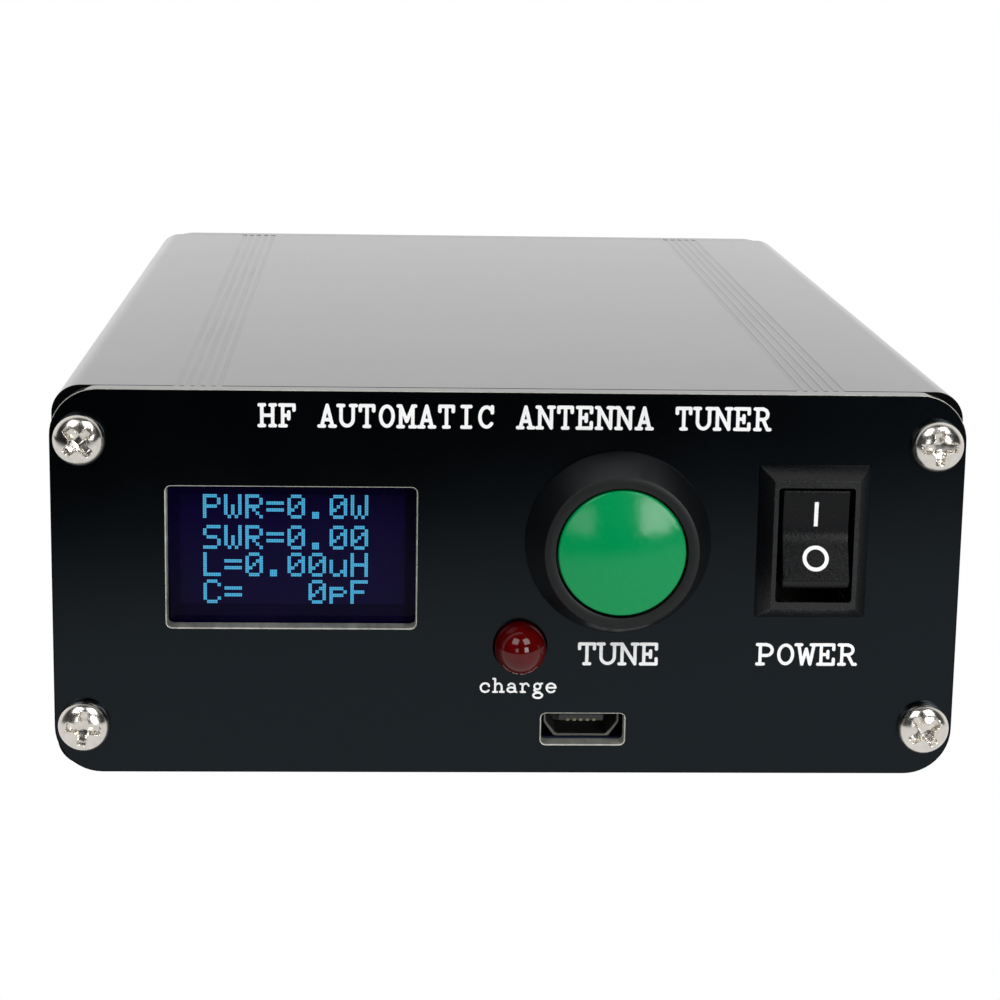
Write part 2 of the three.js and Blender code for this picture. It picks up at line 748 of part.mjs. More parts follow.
function usbOutline(inset) {
  const x = USB_SHELL.width / 2 - inset;
  const low = -USB_SHELL.height / 2 + inset;
  const high = USB_SHELL.height / 2 - inset;
  const slope = USB_SHELL.bevelWide / USB_SHELL.bevelHigh;
  const rise = USB_SHELL.bevelHigh - inset * 0.4;
  return polygon([
    [-x + slope * rise, low],
    [x - slope * rise, low],
    [x, low + rise],
    [x, high],
    [-x, high],
    [-x, low + rise],
  ]);
}

// Its origin is on the front panel's back face, in the middle of the socket.
function usbSocket() {
  const front = SEAT;
  const back = front + USB_SHELL.depth;
  const shell = slab(usbOutline(0), [front, back]).subtract(
    slab(usbOutline(USB_SHELL.wall), [front - 1, back + 1]),
  );
  const top = USB_SHELL.height / 2 - USB_SHELL.wall - USB_TONGUE.gap;
  const blockFront = back - USB_TONGUE.back;
  const tongue = slab(usbOutline(USB_SHELL.wall + SEAT), [blockFront, back]).add(
    block(
      span(0, USB_TONGUE.width),
      [blockFront - USB_TONGUE.length, blockFront + SEAT],
      [top - USB_TONGUE.thickness, top],
    ),
  );
  return groupAt(usbX, panelBack, USB.z, [
    piece("usb_shell", shell, nickel),
    piece("usb_tongue", tongue, blackPlastic),
  ]);
}

function charging() {
  const boardY = [panelBack + SEAT, panelBack + SEAT + CHARGER_BOARD.length];
  const board = block(span(usbX, CHARGER_BOARD.width), boardY, [
    chargerTop - CHARGER_BOARD.thickness,
    chargerTop,
  ]);
  const cellBottom = CASE.wall + SEAT;
  const cellOutline = roundedRectangle(
    BATTERY.width,
    BATTERY.height,
    BATTERY.corner,
    batteryX,
    cellBottom + BATTERY.height / 2,
  );
  const cellY = span(BATTERY.y, BATTERY.length);
  const leadX = batteryX + BATTERY.width / 2 - 2 * BATTERY.corner;
  const leadZ = cellBottom + BATTERY.height / 2;
  const padZ = chargerTop + BATTERY_LEAD.radius + SEAT;
  const lead = wire(
    [
      [leadX, cellY[0] - CLEARANCE, leadZ],
      [leadX, cellY[0] - CLEARANCE - BATTERY_LEAD.height, leadZ],
      [leadX, boardY[1] + SEAT, padZ + BATTERY_LEAD.radius],
      [leadX, boardY[1] - 2 * BATTERY_LEAD.height, padZ],
    ],
    BATTERY_LEAD.radius,
    12,
  );
  return groupAt(0, 0, 0, [
    piece("charger_board", board, blueBoard),
    piece("battery", slab(cellOutline, cellY), silverFoil),
    piece("battery_lead", lead, redWire),
    usbSocket(),
    chargeLed(),
  ]);
}

// ---- the main board ----

// Relays side by side along Y, their cans marked off by seams.
function relayRow(count) {
  const length = count * RELAY.width;
  let row = block(span(0, RELAY.length), span(0, length), [0, RELAY.height]);
  for (let i = 1; i < count; i += 1) {
    const seam = span(i * RELAY.width - length / 2, RELAY.seam);
    const uncut = block(
      span(0, RELAY.length - 2 * RELAY.seam),
      seam,
      [-1, RELAY.height - RELAY.seam],
    );
    const sheet = block(span(0, 2 * RELAY.length), seam, [-1, RELAY.height + 1]);
    row = row.subtract(sheet.subtract(uncut));
  }
  return row;
}

function toroid() {
  const { radius, hole, width } = TOROID;
  const edge = width / 4;
  const ring = [
    [hole, 0],
    [hole + edge, -width / 2],
    [radius - edge, -width / 2],
    [radius, 0],
    [radius - edge, width / 2],
    [hole + edge, width / 2],
  ];
  return turned([...ring, ring[0]], 16);
}

function airCoil() {
  const { radius, turns, pitch } = AIR_COIL;
  return coil(radius, turns * pitch, turns, AIR_COIL.wire);
}

function transformer() {
  const { width, depth, height, hole, spread } = TRANSFORMER;
  let core = block(span(0, width), span(0, depth), [0, height]);
  for (const x of [-spread, spread]) {
    core = core.subtract(rod(hole, span(0, depth + 2), x, height / 2, 16));
  }
  return core;
}

function regulator() {
  const { width, body, bodyHeight, tab, tabHeight } = REGULATOR;
  return block(span(0, width), [0, body], [0, bodyHeight]).add(
    block(span(0, width), [body - tab, body], [0, tabHeight]),
  );
}

function placed(mesh, x, y, z) {
  mesh.position.set(x, y, z);
  return mesh;
}

// Its origin is on the board's top face.
function mainBoard() {
  const board = block(span(0, 2 * (innerHalf - MAIN_BOARD.edge)), [boardFront, boardBack], [
    -MAIN_BOARD.thickness,
    0,
  ]);
  const toroidZ = TOROID.radius + SEAT;
  const coilZ = AIR_COIL.radius + AIR_COIL.wire + SEAT;
  const coilLength = AIR_COIL.turns * AIR_COIL.pitch;
  const chipShape = block(span(0, CHIP.size), span(0, CHIP.size), [0, CHIP.height]);
  const parts = [
    ["inductor_relays", relayRow(RELAY.count), relayPlastic, -RELAY_ROWS.x, RELAY_ROWS.y],
    ["capacitor_relays", relayRow(RELAY.count), relayPlastic, RELAY_ROWS.x, RELAY_ROWS.y],
    ["network_relay", relayRow(1), relayPlastic, CHIP.x, SINGLE_RELAY_Y],
    ["swr_transformer", transformer(), blackPlastic, 0, TRANSFORMER.y],
    ["microcontroller", chipShape, blackPlastic, CHIP.x, CHIP.y],
    ["voltage_regulator", regulator(), blackPlastic, REGULATOR.x, REGULATOR.y],
  ];
  const meshes = parts.map(([name, shape, material, x, y]) =>
    placed(piece(name, shape, material), x, y, SEAT),
  );
  meshes.push(piece("main_board", board, greenBoard));
  for (let i = 0; i < TOROID.count; i += 1) {
    const mesh = piece(`toroid_${i + 1}`, toroid(), redCore);
    meshes.push(placed(mesh, TOROID.x, TOROID.firstY + i * TOROID.pitch, toroidZ));
  }
  for (let i = 0; i < AIR_COIL.count; i += 1) {
    const mesh = piece(`air_coil_${i + 1}`, airCoil(), copper);
    const y = AIR_COIL.firstY + i * AIR_COIL_GAP - coilLength / 2;
    meshes.push(placed(mesh, AIR_COIL.x, y, coilZ));
  }
  return groupAt(0, 0, boardTop, meshes);
}

// ---- the rear sockets and the ground terminal ----

function socketShell() {
  const { barrel, bore, reach } = SOCKET;
  const flangeFront = -PANEL.thickness - SEAT;
  const flangeBack = flangeFront - SOCKET_FLANGE.thickness;
  const profile = [
    [bore, flangeBack],
    [socketFlange, flangeBack],
    [socketFlange, flangeFront],
    [barrel, flangeFront],
    [barrel, reach - SEAT],
    [barrel - SEAT, reach],
    [bore, reach],
    [bore, flangeBack],
  ];
  const notchY = [reach - SOCKET.notchDepth, reach + 1];
  const across = span(0, 2 * barrel + 2);
  return turned(profile, 28)
    .subtract(block(across, notchY, span(0, SOCKET.notch)))
    .subtract(block(span(0, SOCKET.notch), notchY, across));
}

function socketInsulator() {
  const edge = SOCKET.bore - CLEARANCE;
  const hole = CENTRE_CONTACT.radius + CLEARANCE;
  return turned(
    [
      [hole, -INSULATOR.back],
      [edge, -INSULATOR.back],
      [edge, INSULATOR.ledge],
      [INSULATOR.boss, INSULATOR.ledge],
      [INSULATOR.boss, INSULATOR.bossEnd],
      [hole, INSULATOR.bossEnd],
      [hole, -INSULATOR.back],
    ],
    24,
  );
}

function centreContact() {
  const { radius, hole, holeDepth, back } = CENTRE_CONTACT;
  const front = INSULATOR.bossEnd;
  return turned(
    [
      [0, -back],
      [radius * 0.6, -back],
      [radius * 0.6, -INSULATOR.back],
      [radius, -INSULATOR.back],
      [radius, front],
      [hole, front],
      [hole, front - holeDepth],
      [0, front - holeDepth],
    ],
    20,
  );
}

// A socket at x, its origin on the rear panel's outer face.
function coaxSocket(name, x) {
  const nut = hexNut(
    2 * (SOCKET.barrel + SOCKET_NUT.wall),
    [SEAT, SEAT + SOCKET_NUT.thickness],
    SOCKET.barrel + CLEARANCE,
  );
  return groupAt(x, halfDepth, SOCKET.z, [
    piece(`${name}_socket_shell`, socketShell(), nickel),
    piece(`${name}_socket_insulator`, socketInsulator(), whiteInsulator),
    piece(`${name}_socket_contact`, centreContact(), brass),
    piece(`${name}_socket_nut`, nut, nickel),
  ]);
}

function socketWire(name, x) {
  const start = halfDepth - CENTRE_CONTACT.back - CLEARANCE;
  const end = boardBack - SOCKET_WIRE.drop;
  const foot = boardTop + CLEARANCE;
  const lead = wire(
    [
      [x, start, SOCKET.z],
      [x, start - SOCKET_WIRE.drop, SOCKET.z],
      [x, end, (SOCKET.z + foot) / 2],
      [x, end, foot],
    ],
    SOCKET_WIRE.radius,
    12,
  );
  return piece(`${name}_wire`, lead, copper);
}

function groundTerminal() {
  const { radius, head, headHeight, reach } = GROUND_SCREW;
  const seat = -PANEL.thickness - SEAT;
  const screw = turned(
    [
      [0, seat - headHeight],
      [head, seat - headHeight],
      [head, seat],
      [radius, seat],
      [radius, reach - radius / 4],
      [radius * 0.75, reach],
      [0, reach],
    ],
    20,
  );
  const nut = hexNut(
    GROUND_NUT.flats,
    [SEAT, SEAT + GROUND_NUT.thickness],
    radius + CLEARANCE,
  );
  return groupAt(0, halfDepth, SOCKET.z, [
    piece("ground_screw", screw, nickel),
    piece("ground_nut", nut, nickel),
  ]);
}

// ---- the tuner ----

const tuner = new THREE.Group();
tuner.name = "antenna_tuner";
tuner.add(
  piece("top_shell", topShell(), blackAnodised),
  piece("bottom_shell", bottomShell(), blackAnodised),
  piece("front_panel", frontPanel(), blackAnodised),
  piece("rear_panel", rearPanel(), blackAnodised),
  ...caseScrews("front", 1),
  ...caseScrews("rear", -1),
  display(),
  tuneButton(),
  powerSwitch(),
  charging(),
  mainBoard(),
  coaxSocket("antenna", -SOCKET.spread),
  coaxSocket("radio", SOCKET.spread),
  socketWire("antenna", -SOCKET.spread),
  socketWire("radio", SOCKET.spread),
  groundTerminal(),
);

export default tuner;
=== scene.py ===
"""The looks of an automatic antenna tuner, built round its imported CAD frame.

Sizes are in millimetres and become metres when a mesh is made. Places come from the frame's nodes.
"""

import math

import bmesh
import bpy
from mathutils import Matrix, Vector, geometry


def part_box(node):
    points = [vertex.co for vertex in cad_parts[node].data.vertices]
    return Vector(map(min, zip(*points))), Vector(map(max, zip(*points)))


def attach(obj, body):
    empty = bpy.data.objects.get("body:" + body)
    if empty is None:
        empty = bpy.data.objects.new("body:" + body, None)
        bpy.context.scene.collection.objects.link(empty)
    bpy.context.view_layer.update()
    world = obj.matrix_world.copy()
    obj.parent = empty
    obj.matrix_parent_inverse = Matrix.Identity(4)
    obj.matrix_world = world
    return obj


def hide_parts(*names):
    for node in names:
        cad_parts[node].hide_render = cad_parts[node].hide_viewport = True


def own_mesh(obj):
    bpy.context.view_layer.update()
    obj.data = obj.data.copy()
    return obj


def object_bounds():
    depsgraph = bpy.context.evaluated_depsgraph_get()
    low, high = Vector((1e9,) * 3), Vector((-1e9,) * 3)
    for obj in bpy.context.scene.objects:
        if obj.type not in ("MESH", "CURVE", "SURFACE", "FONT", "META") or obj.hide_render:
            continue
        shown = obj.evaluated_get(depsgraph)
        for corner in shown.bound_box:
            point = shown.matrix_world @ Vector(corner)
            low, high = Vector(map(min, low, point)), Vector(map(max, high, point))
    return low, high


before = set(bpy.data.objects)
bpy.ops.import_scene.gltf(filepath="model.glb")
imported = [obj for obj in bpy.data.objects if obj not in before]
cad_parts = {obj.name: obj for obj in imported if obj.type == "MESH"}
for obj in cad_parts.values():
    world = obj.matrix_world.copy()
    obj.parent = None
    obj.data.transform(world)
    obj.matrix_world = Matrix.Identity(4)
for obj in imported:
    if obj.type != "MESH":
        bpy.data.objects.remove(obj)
cad_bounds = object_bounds()

MM = 0.001
FLOAT_GAP = 0.02  # how far printed marks stand proud of what they are printed on
FLAT = 0.97  # how square to an axis a flat face's normal is

# ---- named sizes ----

PANEL = {"corner": 4.6, "edge": 0.13}
SHELL = {"wall": 1.6, "corner": 2.8, "edge": 0.1, "seam": 0.05, "seam_edge": 0.12}
GROOVES = {"count": 5, "pitch": 1.0, "top": 0.66, "bottom": 0.54, "depth": 0.07, "x": 30.0}
LIP = {"thickness": 0.9, "below": 1.55, "above": 1.5, "gap": 0.1}
CHANNEL = {"radius": 2.7, "hole": 1.8, "bore": 1.75, "start": 62.5, "stop": 299.0}
SCREW = {"head": 2.5, "height": 1.9, "side": 0.62, "shank": 1.45, "length": 8.0, "thread": 0.18}
HEAD_EDGE_RADII = [1.75, 1.9, 2.05, 2.18, 2.28, 2.36, 2.42, 2.46, 2.485, 2.5]
RECESS = {"arm": 1.66, "half_width": 0.46, "depth": 1.15, "wall": 0.16, "flare": 0.5}
RECESS_TURNS = {
    "front": {"top_left": 42, "top_right": 3, "bottom_left": -6, "bottom_right": 36},
    "rear": {"top_left": 20, "top_right": 71, "bottom_left": 55, "bottom_right": 8},
}
WINDOW = {"width": 24.0, "height": 13.9, "x": -21.0, "z": 21.6, "corner": 0.5}
USB_HOLE = {"width": 8.15, "height": 3.08, "corner": 0.45}
SWITCH_HOLE = {"width": 8.8, "height": 13.8, "corner": 0.3}
HOLE_GAP = 0.2  # round the button and the rear sockets
GROUND_HOLE = 2.2
LIGHT = {"radius": 2.5, "straight": 1.0, "flange": 2.9, "hole": 2.55, "painted_shade_ring": 3.2}
PIXEL = {"pitch": 0.17, "lit": 0.85, "columns": 128, "rows": 64, "left": -31.83, "top": 27.33}
READOUT = {"first_column": 13, "advance": 12, "scale": 2, "tops": (0, 18, 34, 50)}
BUTTON = {
    "bore": 6.3, "lip": 7.42, "height": 5.0, "base": 9.0, "barrel": 7.9, "cap": 6.1, "travel": 2.0,
}
SPRING = {"wire": 0.25, "turns": 4}
ROCKER = {
    "half": 4.29, "rise": 6.3, "dish": 1.05, "blend": 0.7, "pivot": 3.7, "tilt": 9.7, "width": 6.5,
}
MARKS = {"bar": (0.38, 2.36), "bar_z": 2.1, "ring": (0.89, 1.27), "ring_z": -2.17, "squash": 0.97}
USB = {"half": 3.75, "rise": 1.35, "wall": 0.25, "contacts": 5, "contact_pitch": 0.65}
SOCKET = {
    "barrel": 7.94, "bore": 6.1, "pitch": 1.06, "thread": 0.36, "notch": 1.6, "notch_depth": 1.0,
}
NUT = {"chamfer": 0.45, "slope": 1.9}
# How the floor's painted glow falls off towards the front, for rays other than the camera's.
FLOOR_PAINTED_GLOW = {"From_Min": -0.22, "From_Max": -0.12, "To_Min": 0.0, "To_Max": 0.9}
FLOOR_SLANT = 0.4
FLOOR_GAP = 0.0003  # metres, so that the floor and the part's flat bottom don't flicker
SOFT_BOX_DISTANCE = 0.9  # metres
ROOM_LIT = {"From_Min": -0.2, "From_Max": 0.12, "To_Min": 0.02, "To_Max": 1.0}
CAMERA = {
    "location": (-0.01244, -0.312, 0.08124),
    "yaw": 2.654,
    "pitch": 12.269,
    "roll": 0.96,
    "lens": 94.7,
    "sensor": 36.0,
}


def box(node):
    """A CAD node's lowest and highest corners, in millimetres."""
    low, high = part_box(node)
    return low / MM, high / MM


def middle(node):
    low, high = box(node)
    return (low + high) / 2


# ---- outlines, as lists of (x, z) ----


def arc(x, z, rx, rz, start, stop, steps):
    """Points round an ellipse, from one angle to another in degrees."""
    angles = [math.radians(start + (stop - start) * i / steps) for i in range(steps + 1)]
    return [(x + rx * math.cos(a), z + rz * math.sin(a)) for a in angles]


def rounded(width, height, corner, x, z, steps):
    """A rectangle with round corners, anticlockwise."""
    across, up = width / 2 - corner, height / 2 - corner
    points = []
    for i, (sx, sz) in enumerate(((1, 1), (-1, 1), (-1, -1), (1, -1))):
        points += arc(x + sx * across, z + sz * up, corner, corner, 90 * i, 90 * i + 90, steps)
    return points


def at_depth(outline, y):
    return [(x, y, z) for x, z in outline]


def circle(radius, x, z, steps):
    return arc(x, z, radius, radius, 0, 360, steps)[:-1]


# ---- meshes ----


def mesh_of(points, faces):
    mesh = bpy.data.meshes.new("piece")
    mesh.from_pydata([Vector(p) * MM for p in points], [], faces)
    return mesh


def joined(*parts):
    """Several (points, faces) as one."""
    points, faces = [], []
    for some_points, some_faces in parts:
        start = len(points)
        points += some_points
        faces += [[start + i for i in face] for face in some_faces]
    return points, faces


def loft(loops, caps=True, ring=False):
    """Joins loops of equal length into a skin. A ring also joins the last loop to the first."""
    count = len(loops[0])
    points = [p for loop in loops for p in loop]
    last = (len(loops) - 1) * count
    rows = [(start, start + count) for start in range(0, last, count)]
    if ring:
        rows.append((last, 0))
    faces = [
        [low + i, low + (i + 1) % count, high + (i + 1) % count, high + i]
        for low, high in rows
        for i in range(count)
    ]
    if caps and not ring:
        faces += [list(range(count)), [last + i for i in range(count)]]
    return points, faces


def turned_loop(radius_at, y, at, steps):
    """A loop round the Y axis through at, y behind it. The radius is a number or a function."""
    loop = []
    for i in range(steps):
        a = 2 * math.pi * i / steps
        r = radius_at(a) if callable(radius_at) else radius_at
        loop.append((at.x + r * math.cos(a), at.y + y, at.z + r * math.sin(a)))
    return loop


def turned(profile, at, steps):
    """The loops of a body of revolution along Y, from (radius, depth behind at) pairs."""
    return [turned_loop(radius, y, at, steps) for radius, y in profile]


def on_front(node):
    """Where a node's middle meets the front panel's face."""
    at = middle(node)
    return Vector((at.x, front_face, at.z))


def on_rear(node):
    """Where a node's middle meets the rear panel's face, and its two ends behind that face."""
    low, high = box(node)
    at = (low + high) / 2
    return Vector((at.x, rear_face, at.z)), low.y - rear_face, high.y - rear_face


def plate_mesh(outline, holes, y0, y1, edge):
    """An outline with holes, extruded along Y, its edges rounded."""
    curve = bpy.data.curves.new("outline", "CURVE")
    curve.dimensions = "2D"
    curve.fill_mode = "BOTH"
    curve.extrude = ((y1 - y0) / 2 - edge) * MM
    curve.bevel_depth = edge * MM
    curve.bevel_resolution = 2
    curve.offset = -edge * MM
    for loop in (outline, *(hole[::-1] for hole in holes)):
        spline = curve.splines.new("POLY")
        spline.points.add(len(loop) - 1)
        spline.use_cyclic_u = True
        for point, (x, z) in zip(spline.points, loop):
            point.co = (x * MM, z * MM, 0.0, 1.0)
    holder = bpy.data.objects.new("outline", curve)
    mesh = bpy.data.meshes.new_from_object(holder)
    bpy.data.objects.remove(holder)
    bpy.data.curves.remove(curve)
    upright = Matrix(((1, 0, 0, 0), (0, 0, -1, (y0 + y1) / 2 * MM), (0, 1, 0, 0), (0, 0, 0, 1)))
    mesh.transform(upright)
    mesh.materials.clear()
    return mesh


def area_mesh(loops, y0, y1):
    """The union of closed loops in X and Z, as a flat piece from y0 to y1."""
    points, faces = [], []
    for loop in loops:
        faces.append(list(range(len(points), len(points) + len(loop))))
        points += [Vector(p) for p in loop]
    flat, _, triangles, _, _, origins = geometry.delaunay_2d_cdt(points, [], faces, 1, 1e-5)
    kept = [t for t, origin in zip(triangles, origins) if origin]
    count = len(flat)
    solid = [(p.x, y0, p.y) for p in flat] + [(p.x, y1, p.y) for p in flat]
    edges = {}
    for t in kept:
        for a, b in zip(t, [*t[1:], t[0]]):
            edges[(a, b)] = edges.get((a, b), 0) + 1
    made = [list(t) for t in kept] + [[i + count for i in reversed(t)] for t in kept]
    for a, b in edges:
        if (b, a) not in edges:
            made.append([b, a, a + count, b + count])
    mesh = mesh_of(solid, made)
    work = bmesh.new()
    work.from_mesh(mesh)
    bmesh.ops.delete(work, geom=[v for v in work.verts if not v.link_faces], context="VERTS")
    work.to_mesh(mesh)
    work.free()
    return mesh


def add(name, mesh, body, materials, replaces=(), sharp=32):
    """Welds a mesh, turns its faces outwards, smooths it, links it and ties it to the frame."""
    if isinstance(mesh, tuple):
        mesh = mesh_of(*mesh)
    work = bmesh.new()
    work.from_mesh(mesh)
    bmesh.ops.remove_doubles(work, verts=work.verts, dist=1e-7)
    bmesh.ops.recalc_face_normals(work, faces=work.faces)
    work.to_mesh(mesh)
    work.free()
    mesh.shade_smooth()
    mesh.set_sharp_from_angle(angle=math.radians(sharp))
    mesh.name = name
    for material in materials:
        mesh.materials.append(material)
    obj = bpy.data.objects.new(name, mesh)
    bpy.context.scene.collection.objects.link(obj)
    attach(obj, body)
    if replaces:
        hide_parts(*replaces)
    return obj


def bevel(obj, width, angle=28):
    """Rounds the sharp edges of a piece."""
    modifier = obj.modifiers.new("edges", "BEVEL")
    modifier.width = width * MM
    modifier.segments = 3
    modifier.limit_method = "ANGLE"
    modifier.angle_limit = math.radians(angle)
    modifier.harden_normals = True


def cut_edges(obj):
    """Bare metal in a plate's holes and along its top. Black on the rest of its outer rim, on the
    holes' downward-facing edges and in a ring round the charging light, as painted shade.
    """
    face, metal, flat_rim, painted_shade_rim = range(len(PANEL_MATERIALS))
    half_width, half_height = case_width / 2 - 0.5, case_height / 2 - 0.5
    corner_x, corner_z = case_width / 2 - PANEL["corner"], case_height / 2 - PANEL["corner"]
    light, light_z = middle("charge_led"), front_led_z()
    for polygon in obj.data.polygons:
        centre = polygon.center / MM
        x, z = abs(centre.x), abs(centre.z - case_middle)
        outer = x > half_width or z > half_height or (x > corner_x and z > corner_z)
        facing, rising = abs(polygon.normal.y), polygon.normal.z
        round_edge = facing > 0.2
        if facing > FLAT:
            index = face
        # Round outer edges facing up stay bare metal; the rest of the outer rim gets a black that
        # is painted shade.
        elif outer and round_edge:
            index = metal if rising > 0.3 else painted_shade_rim
        elif outer:
            index = flat_rim if rising > FLAT else painted_shade_rim
        else:
            # Hole edges facing down, and a ring round the charging light, get a black that is
            # painted shade.
            painted_shade_by_light = math.hypot(centre.x - light.x, centre.z - light_z) < LIGHT["painted_shade_ring"]
            index = painted_shade_rim if painted_shade_by_light or (round_edge and rising < -0.3) else metal
        polygon.material_index = index


# ---- materials ----

NOISE_RANGE = (0.3, 0.7)


def set_inputs(node, **values):
    """Sets a node's inputs by name, with _ for a space."""
    for name, value in values.items():
        node.inputs[name.replace("_", " ")].default_value = value


def add_node(tree, kind, **values):
    node = tree.nodes.new(f"ShaderNode{kind}")
    set_inputs(node, **values)
    return node


def surface(
    name,
    colour,
    roughness,
    metallic=0.0,
    vary=0.15,
    rough_vary=0.06,
    grain=2500.0,
    cloud=90.0,
    stretch=(1.0, 1.0, 1.0),
    bump=0.2,
    relief=0.02,
    **sockets,
):
    """A Principled material whose colour, roughness and relief come from fine and broad noise."""
    material = bpy.data.materials.new(name)
    material.use_nodes = True
    tree = material.node_tree
    link = tree.links.new
    shader = tree.nodes["Principled BSDF"]
    set_inputs(shader, Metallic=metallic, **sockets)
    coords = add_node(tree, "TexCoord")
    mapping = add_node(tree, "Mapping", Scale=stretch)
    link(coords.outputs["Object"], mapping.inputs["Vector"])
    noises = []
    for scale, source in ((grain, mapping.outputs["Vector"]), (cloud, coords.outputs["Object"])):
        noise = add_node(tree, "TexNoise", Scale=scale, Detail=5.0)
        link(source, noise.inputs["Vector"])
        noises.append(noise.outputs["Fac"])
    total, halved = add_node(tree, "Math"), add_node(tree, "Math")
    total.operation, halved.operation = "ADD", "MULTIPLY"
    for i in range(2):
        link(noises[i], total.inputs[i])
    halved.inputs[1].default_value = 0.5
    link(total.outputs[0], halved.inputs[0])
    ramp = add_node(tree, "ValToRGB")
    low, high = ramp.color_ramp.elements
    low.position, high.position = NOISE_RANGE
    low.color = (*[c * (1 - vary) for c in colour], 1)
    high.color = (*[min(1, c * (1 + vary)) for c in colour], 1)
    link(halved.outputs[0], ramp.inputs["Fac"])
    link(ramp.outputs["Color"], shader.inputs["Base Color"])
    spread = add_node(
        tree, "MapRange", From_Min=NOISE_RANGE[0], From_Max=NOISE_RANGE[1],
        To_Min=max(0.02, roughness - rough_vary), To_Max=min(1.0, roughness + rough_vary),
    )
    link(halved.outputs[0], spread.inputs["Value"])
    link(spread.outputs["Result"], shader.inputs["Roughness"])
    relief_node = add_node(tree, "Bump", Strength=bump, Distance=relief * MM)
    link(noises[0], relief_node.inputs["Height"])
    link(relief_node.outputs["Normal"], shader.inputs["Normal"])
    return material


def srgb(red, green, blue):
    """A colour from its 0 to 255 levels."""
    levels = [c / 255 for c in (red, green, blue)]
    return [c / 12.92 if c <= 0.04045 else ((c + 0.055) / 1.055) ** 2.4 for c in levels]


ALONG_DEPTH = (1.0, 0.02, 1.0)
ACROSS = (0.05, 1.0, 1.0)

brushed_black = surface(
    "brushed_black_anodised", (0.002, 0.002, 0.0022), 0.1, vary=0.4, rough_vary=0.03,
    grain=3500.0, stretch=ALONG_DEPTH, bump=0.25, relief=0.008, Specular_IOR_Level=0.78,
)
# The groove floors' copy of the anodised finish: rougher, which is real, and less reflective so
# the grooves read darker, which is painted shade.
groove_black_painted_shade = surface(
    "groove_anodised_painted_shade", (0.002, 0.002, 0.0022), 0.15, vary=0.4, rough_vary=0.04,
    grain=3500.0, stretch=ALONG_DEPTH, bump=0.3, relief=0.01, Specular_IOR_Level=0.68,
)
panel_black = surface(
    "satin_black_anodised", (0.0001, 0.0003, 0.0006), 0.17, vary=0.35, rough_vary=0.04,
    grain=4000.0, bump=0.15, relief=0.008, Specular_IOR_Level=0.25,
    Specular_Tint=(0.7, 0.87, 1.0, 1.0),
)
# A rough black that paints shade on rims and edges facing away from the light.
rim_black_painted_shade = surface(
    "rough_black_rim_painted_shade", (0.0008, 0.001, 0.0012), 0.6, vary=0.35, grain=3000.0, bump=0.4,
    Specular_IOR_Level=0.04,
)
cut_metal = surface(
    "cut_aluminium", (0.46, 0.46, 0.41), 0.5, 0.7, vary=0.35, rough_vary=0.15,
    grain=1800.0, stretch=(1.0, 0.15, 1.0), bump=0.7, relief=0.05,
)
ink = surface("white_ink", (0.88, 0.88, 0.88), 0.5, vary=0.05, grain=6000.0, bump=0.2)
nickel = surface(
    "nickel_plate", (0.68, 0.65, 0.6), 0.2, 1.0, vary=0.14, rough_vary=0.09,
    grain=1600.0, bump=0.18, relief=0.02,
)
# Steel darkened well below plated steel, standing in for the shade inside the socket's hole:
# painted shade.
socket_steel_painted_shade = surface(
    "socket_steel_painted_shade", (0.14, 0.14, 0.13), 0.4, 1.0, vary=0.3, rough_vary=0.12, grain=2600.0,
    bump=0.4,
)
tinned = surface(
    "tinned_steel", (0.6, 0.6, 0.6), 0.3, 1.0, vary=0.2, rough_vary=0.1, grain=2600.0, bump=0.3,
)
brass = surface("brass", (0.78, 0.56, 0.24), 0.28, 1.0, vary=0.15, grain=2200.0, stretch=ACROSS)
dull_brass = surface("dull_brass", (0.2, 0.17, 0.11), 0.4, 0.9, vary=0.25, grain=2200.0)
glass = surface(
    "display_glass", (0.0018, 0.0009, 0.013), 0.07, vary=0.5, rough_vary=0.04, grain=1500.0,
    bump=0.03, Specular_IOR_Level=0.05,
)
lit_area = surface(
    "display_area", (0.003, 0.0014, 0.022), 0.12, vary=0.5, rough_vary=0.04, grain=5800.0,
    cloud=45.0, bump=0.05, Specular_IOR_Level=0.07,
)
pixels_lit = surface(
    "display_pixels", (0.01, 0.05, 0.08), 0.4, vary=0.2, grain=5000.0, bump=0.05,
    Emission_Color=(*srgb(60, 168, 214), 1), Emission_Strength=1.0,
)
button_black = surface(
    "button_housing_plastic", (0.002, 0.0026, 0.0032), 0.4, vary=0.2, rough_vary=0.05,
    grain=5200.0, bump=0.2, relief=0.012, Specular_IOR_Level=0.3,
)
button_green = surface(
    "button_cap_plastic", srgb(0, 139, 77), 0.17, vary=0.06, rough_vary=0.06,
    grain=2200.0, bump=0.5, relief=0.014, Specular_IOR_Level=0.26,
)
switch_black = surface(
    "switch_housing_plastic", (0.002, 0.0024, 0.003), 0.3, vary=0.25, rough_vary=0.08,
    grain=4200.0, bump=0.9, relief=0.025, Specular_IOR_Level=0.45,
)
rocker_black = surface(
    "rocker_plastic", (0.001, 0.0013, 0.002), 0.27, vary=0.25, rough_vary=0.08,
    grain=4400.0, bump=0.8, relief=0.02, Specular_IOR_Level=0.2,
)
red_lens = surface(
    "red_lens", (0.07, 0.0006, 0.0008), 0.08, vary=0.35, rough_vary=0.03, grain=700.0, bump=0.08,
    relief=0.02, Specular_IOR_Level=0.32,
)
moulding = surface("black_moulding", (0.015, 0.015, 0.016), 0.5, vary=0.2, grain=3000.0, bump=0.4)
green_board = surface(
    "green_solder_mask", (0.012, 0.09, 0.03), 0.3, vary=0.35, grain=900.0, cloud=160.0, bump=0.35,
)
blue_board = surface(
    "blue_solder_mask", (0.003, 0.008, 0.03), 0.3, vary=0.35, grain=900.0, cloud=160.0, bump=0.35,
)
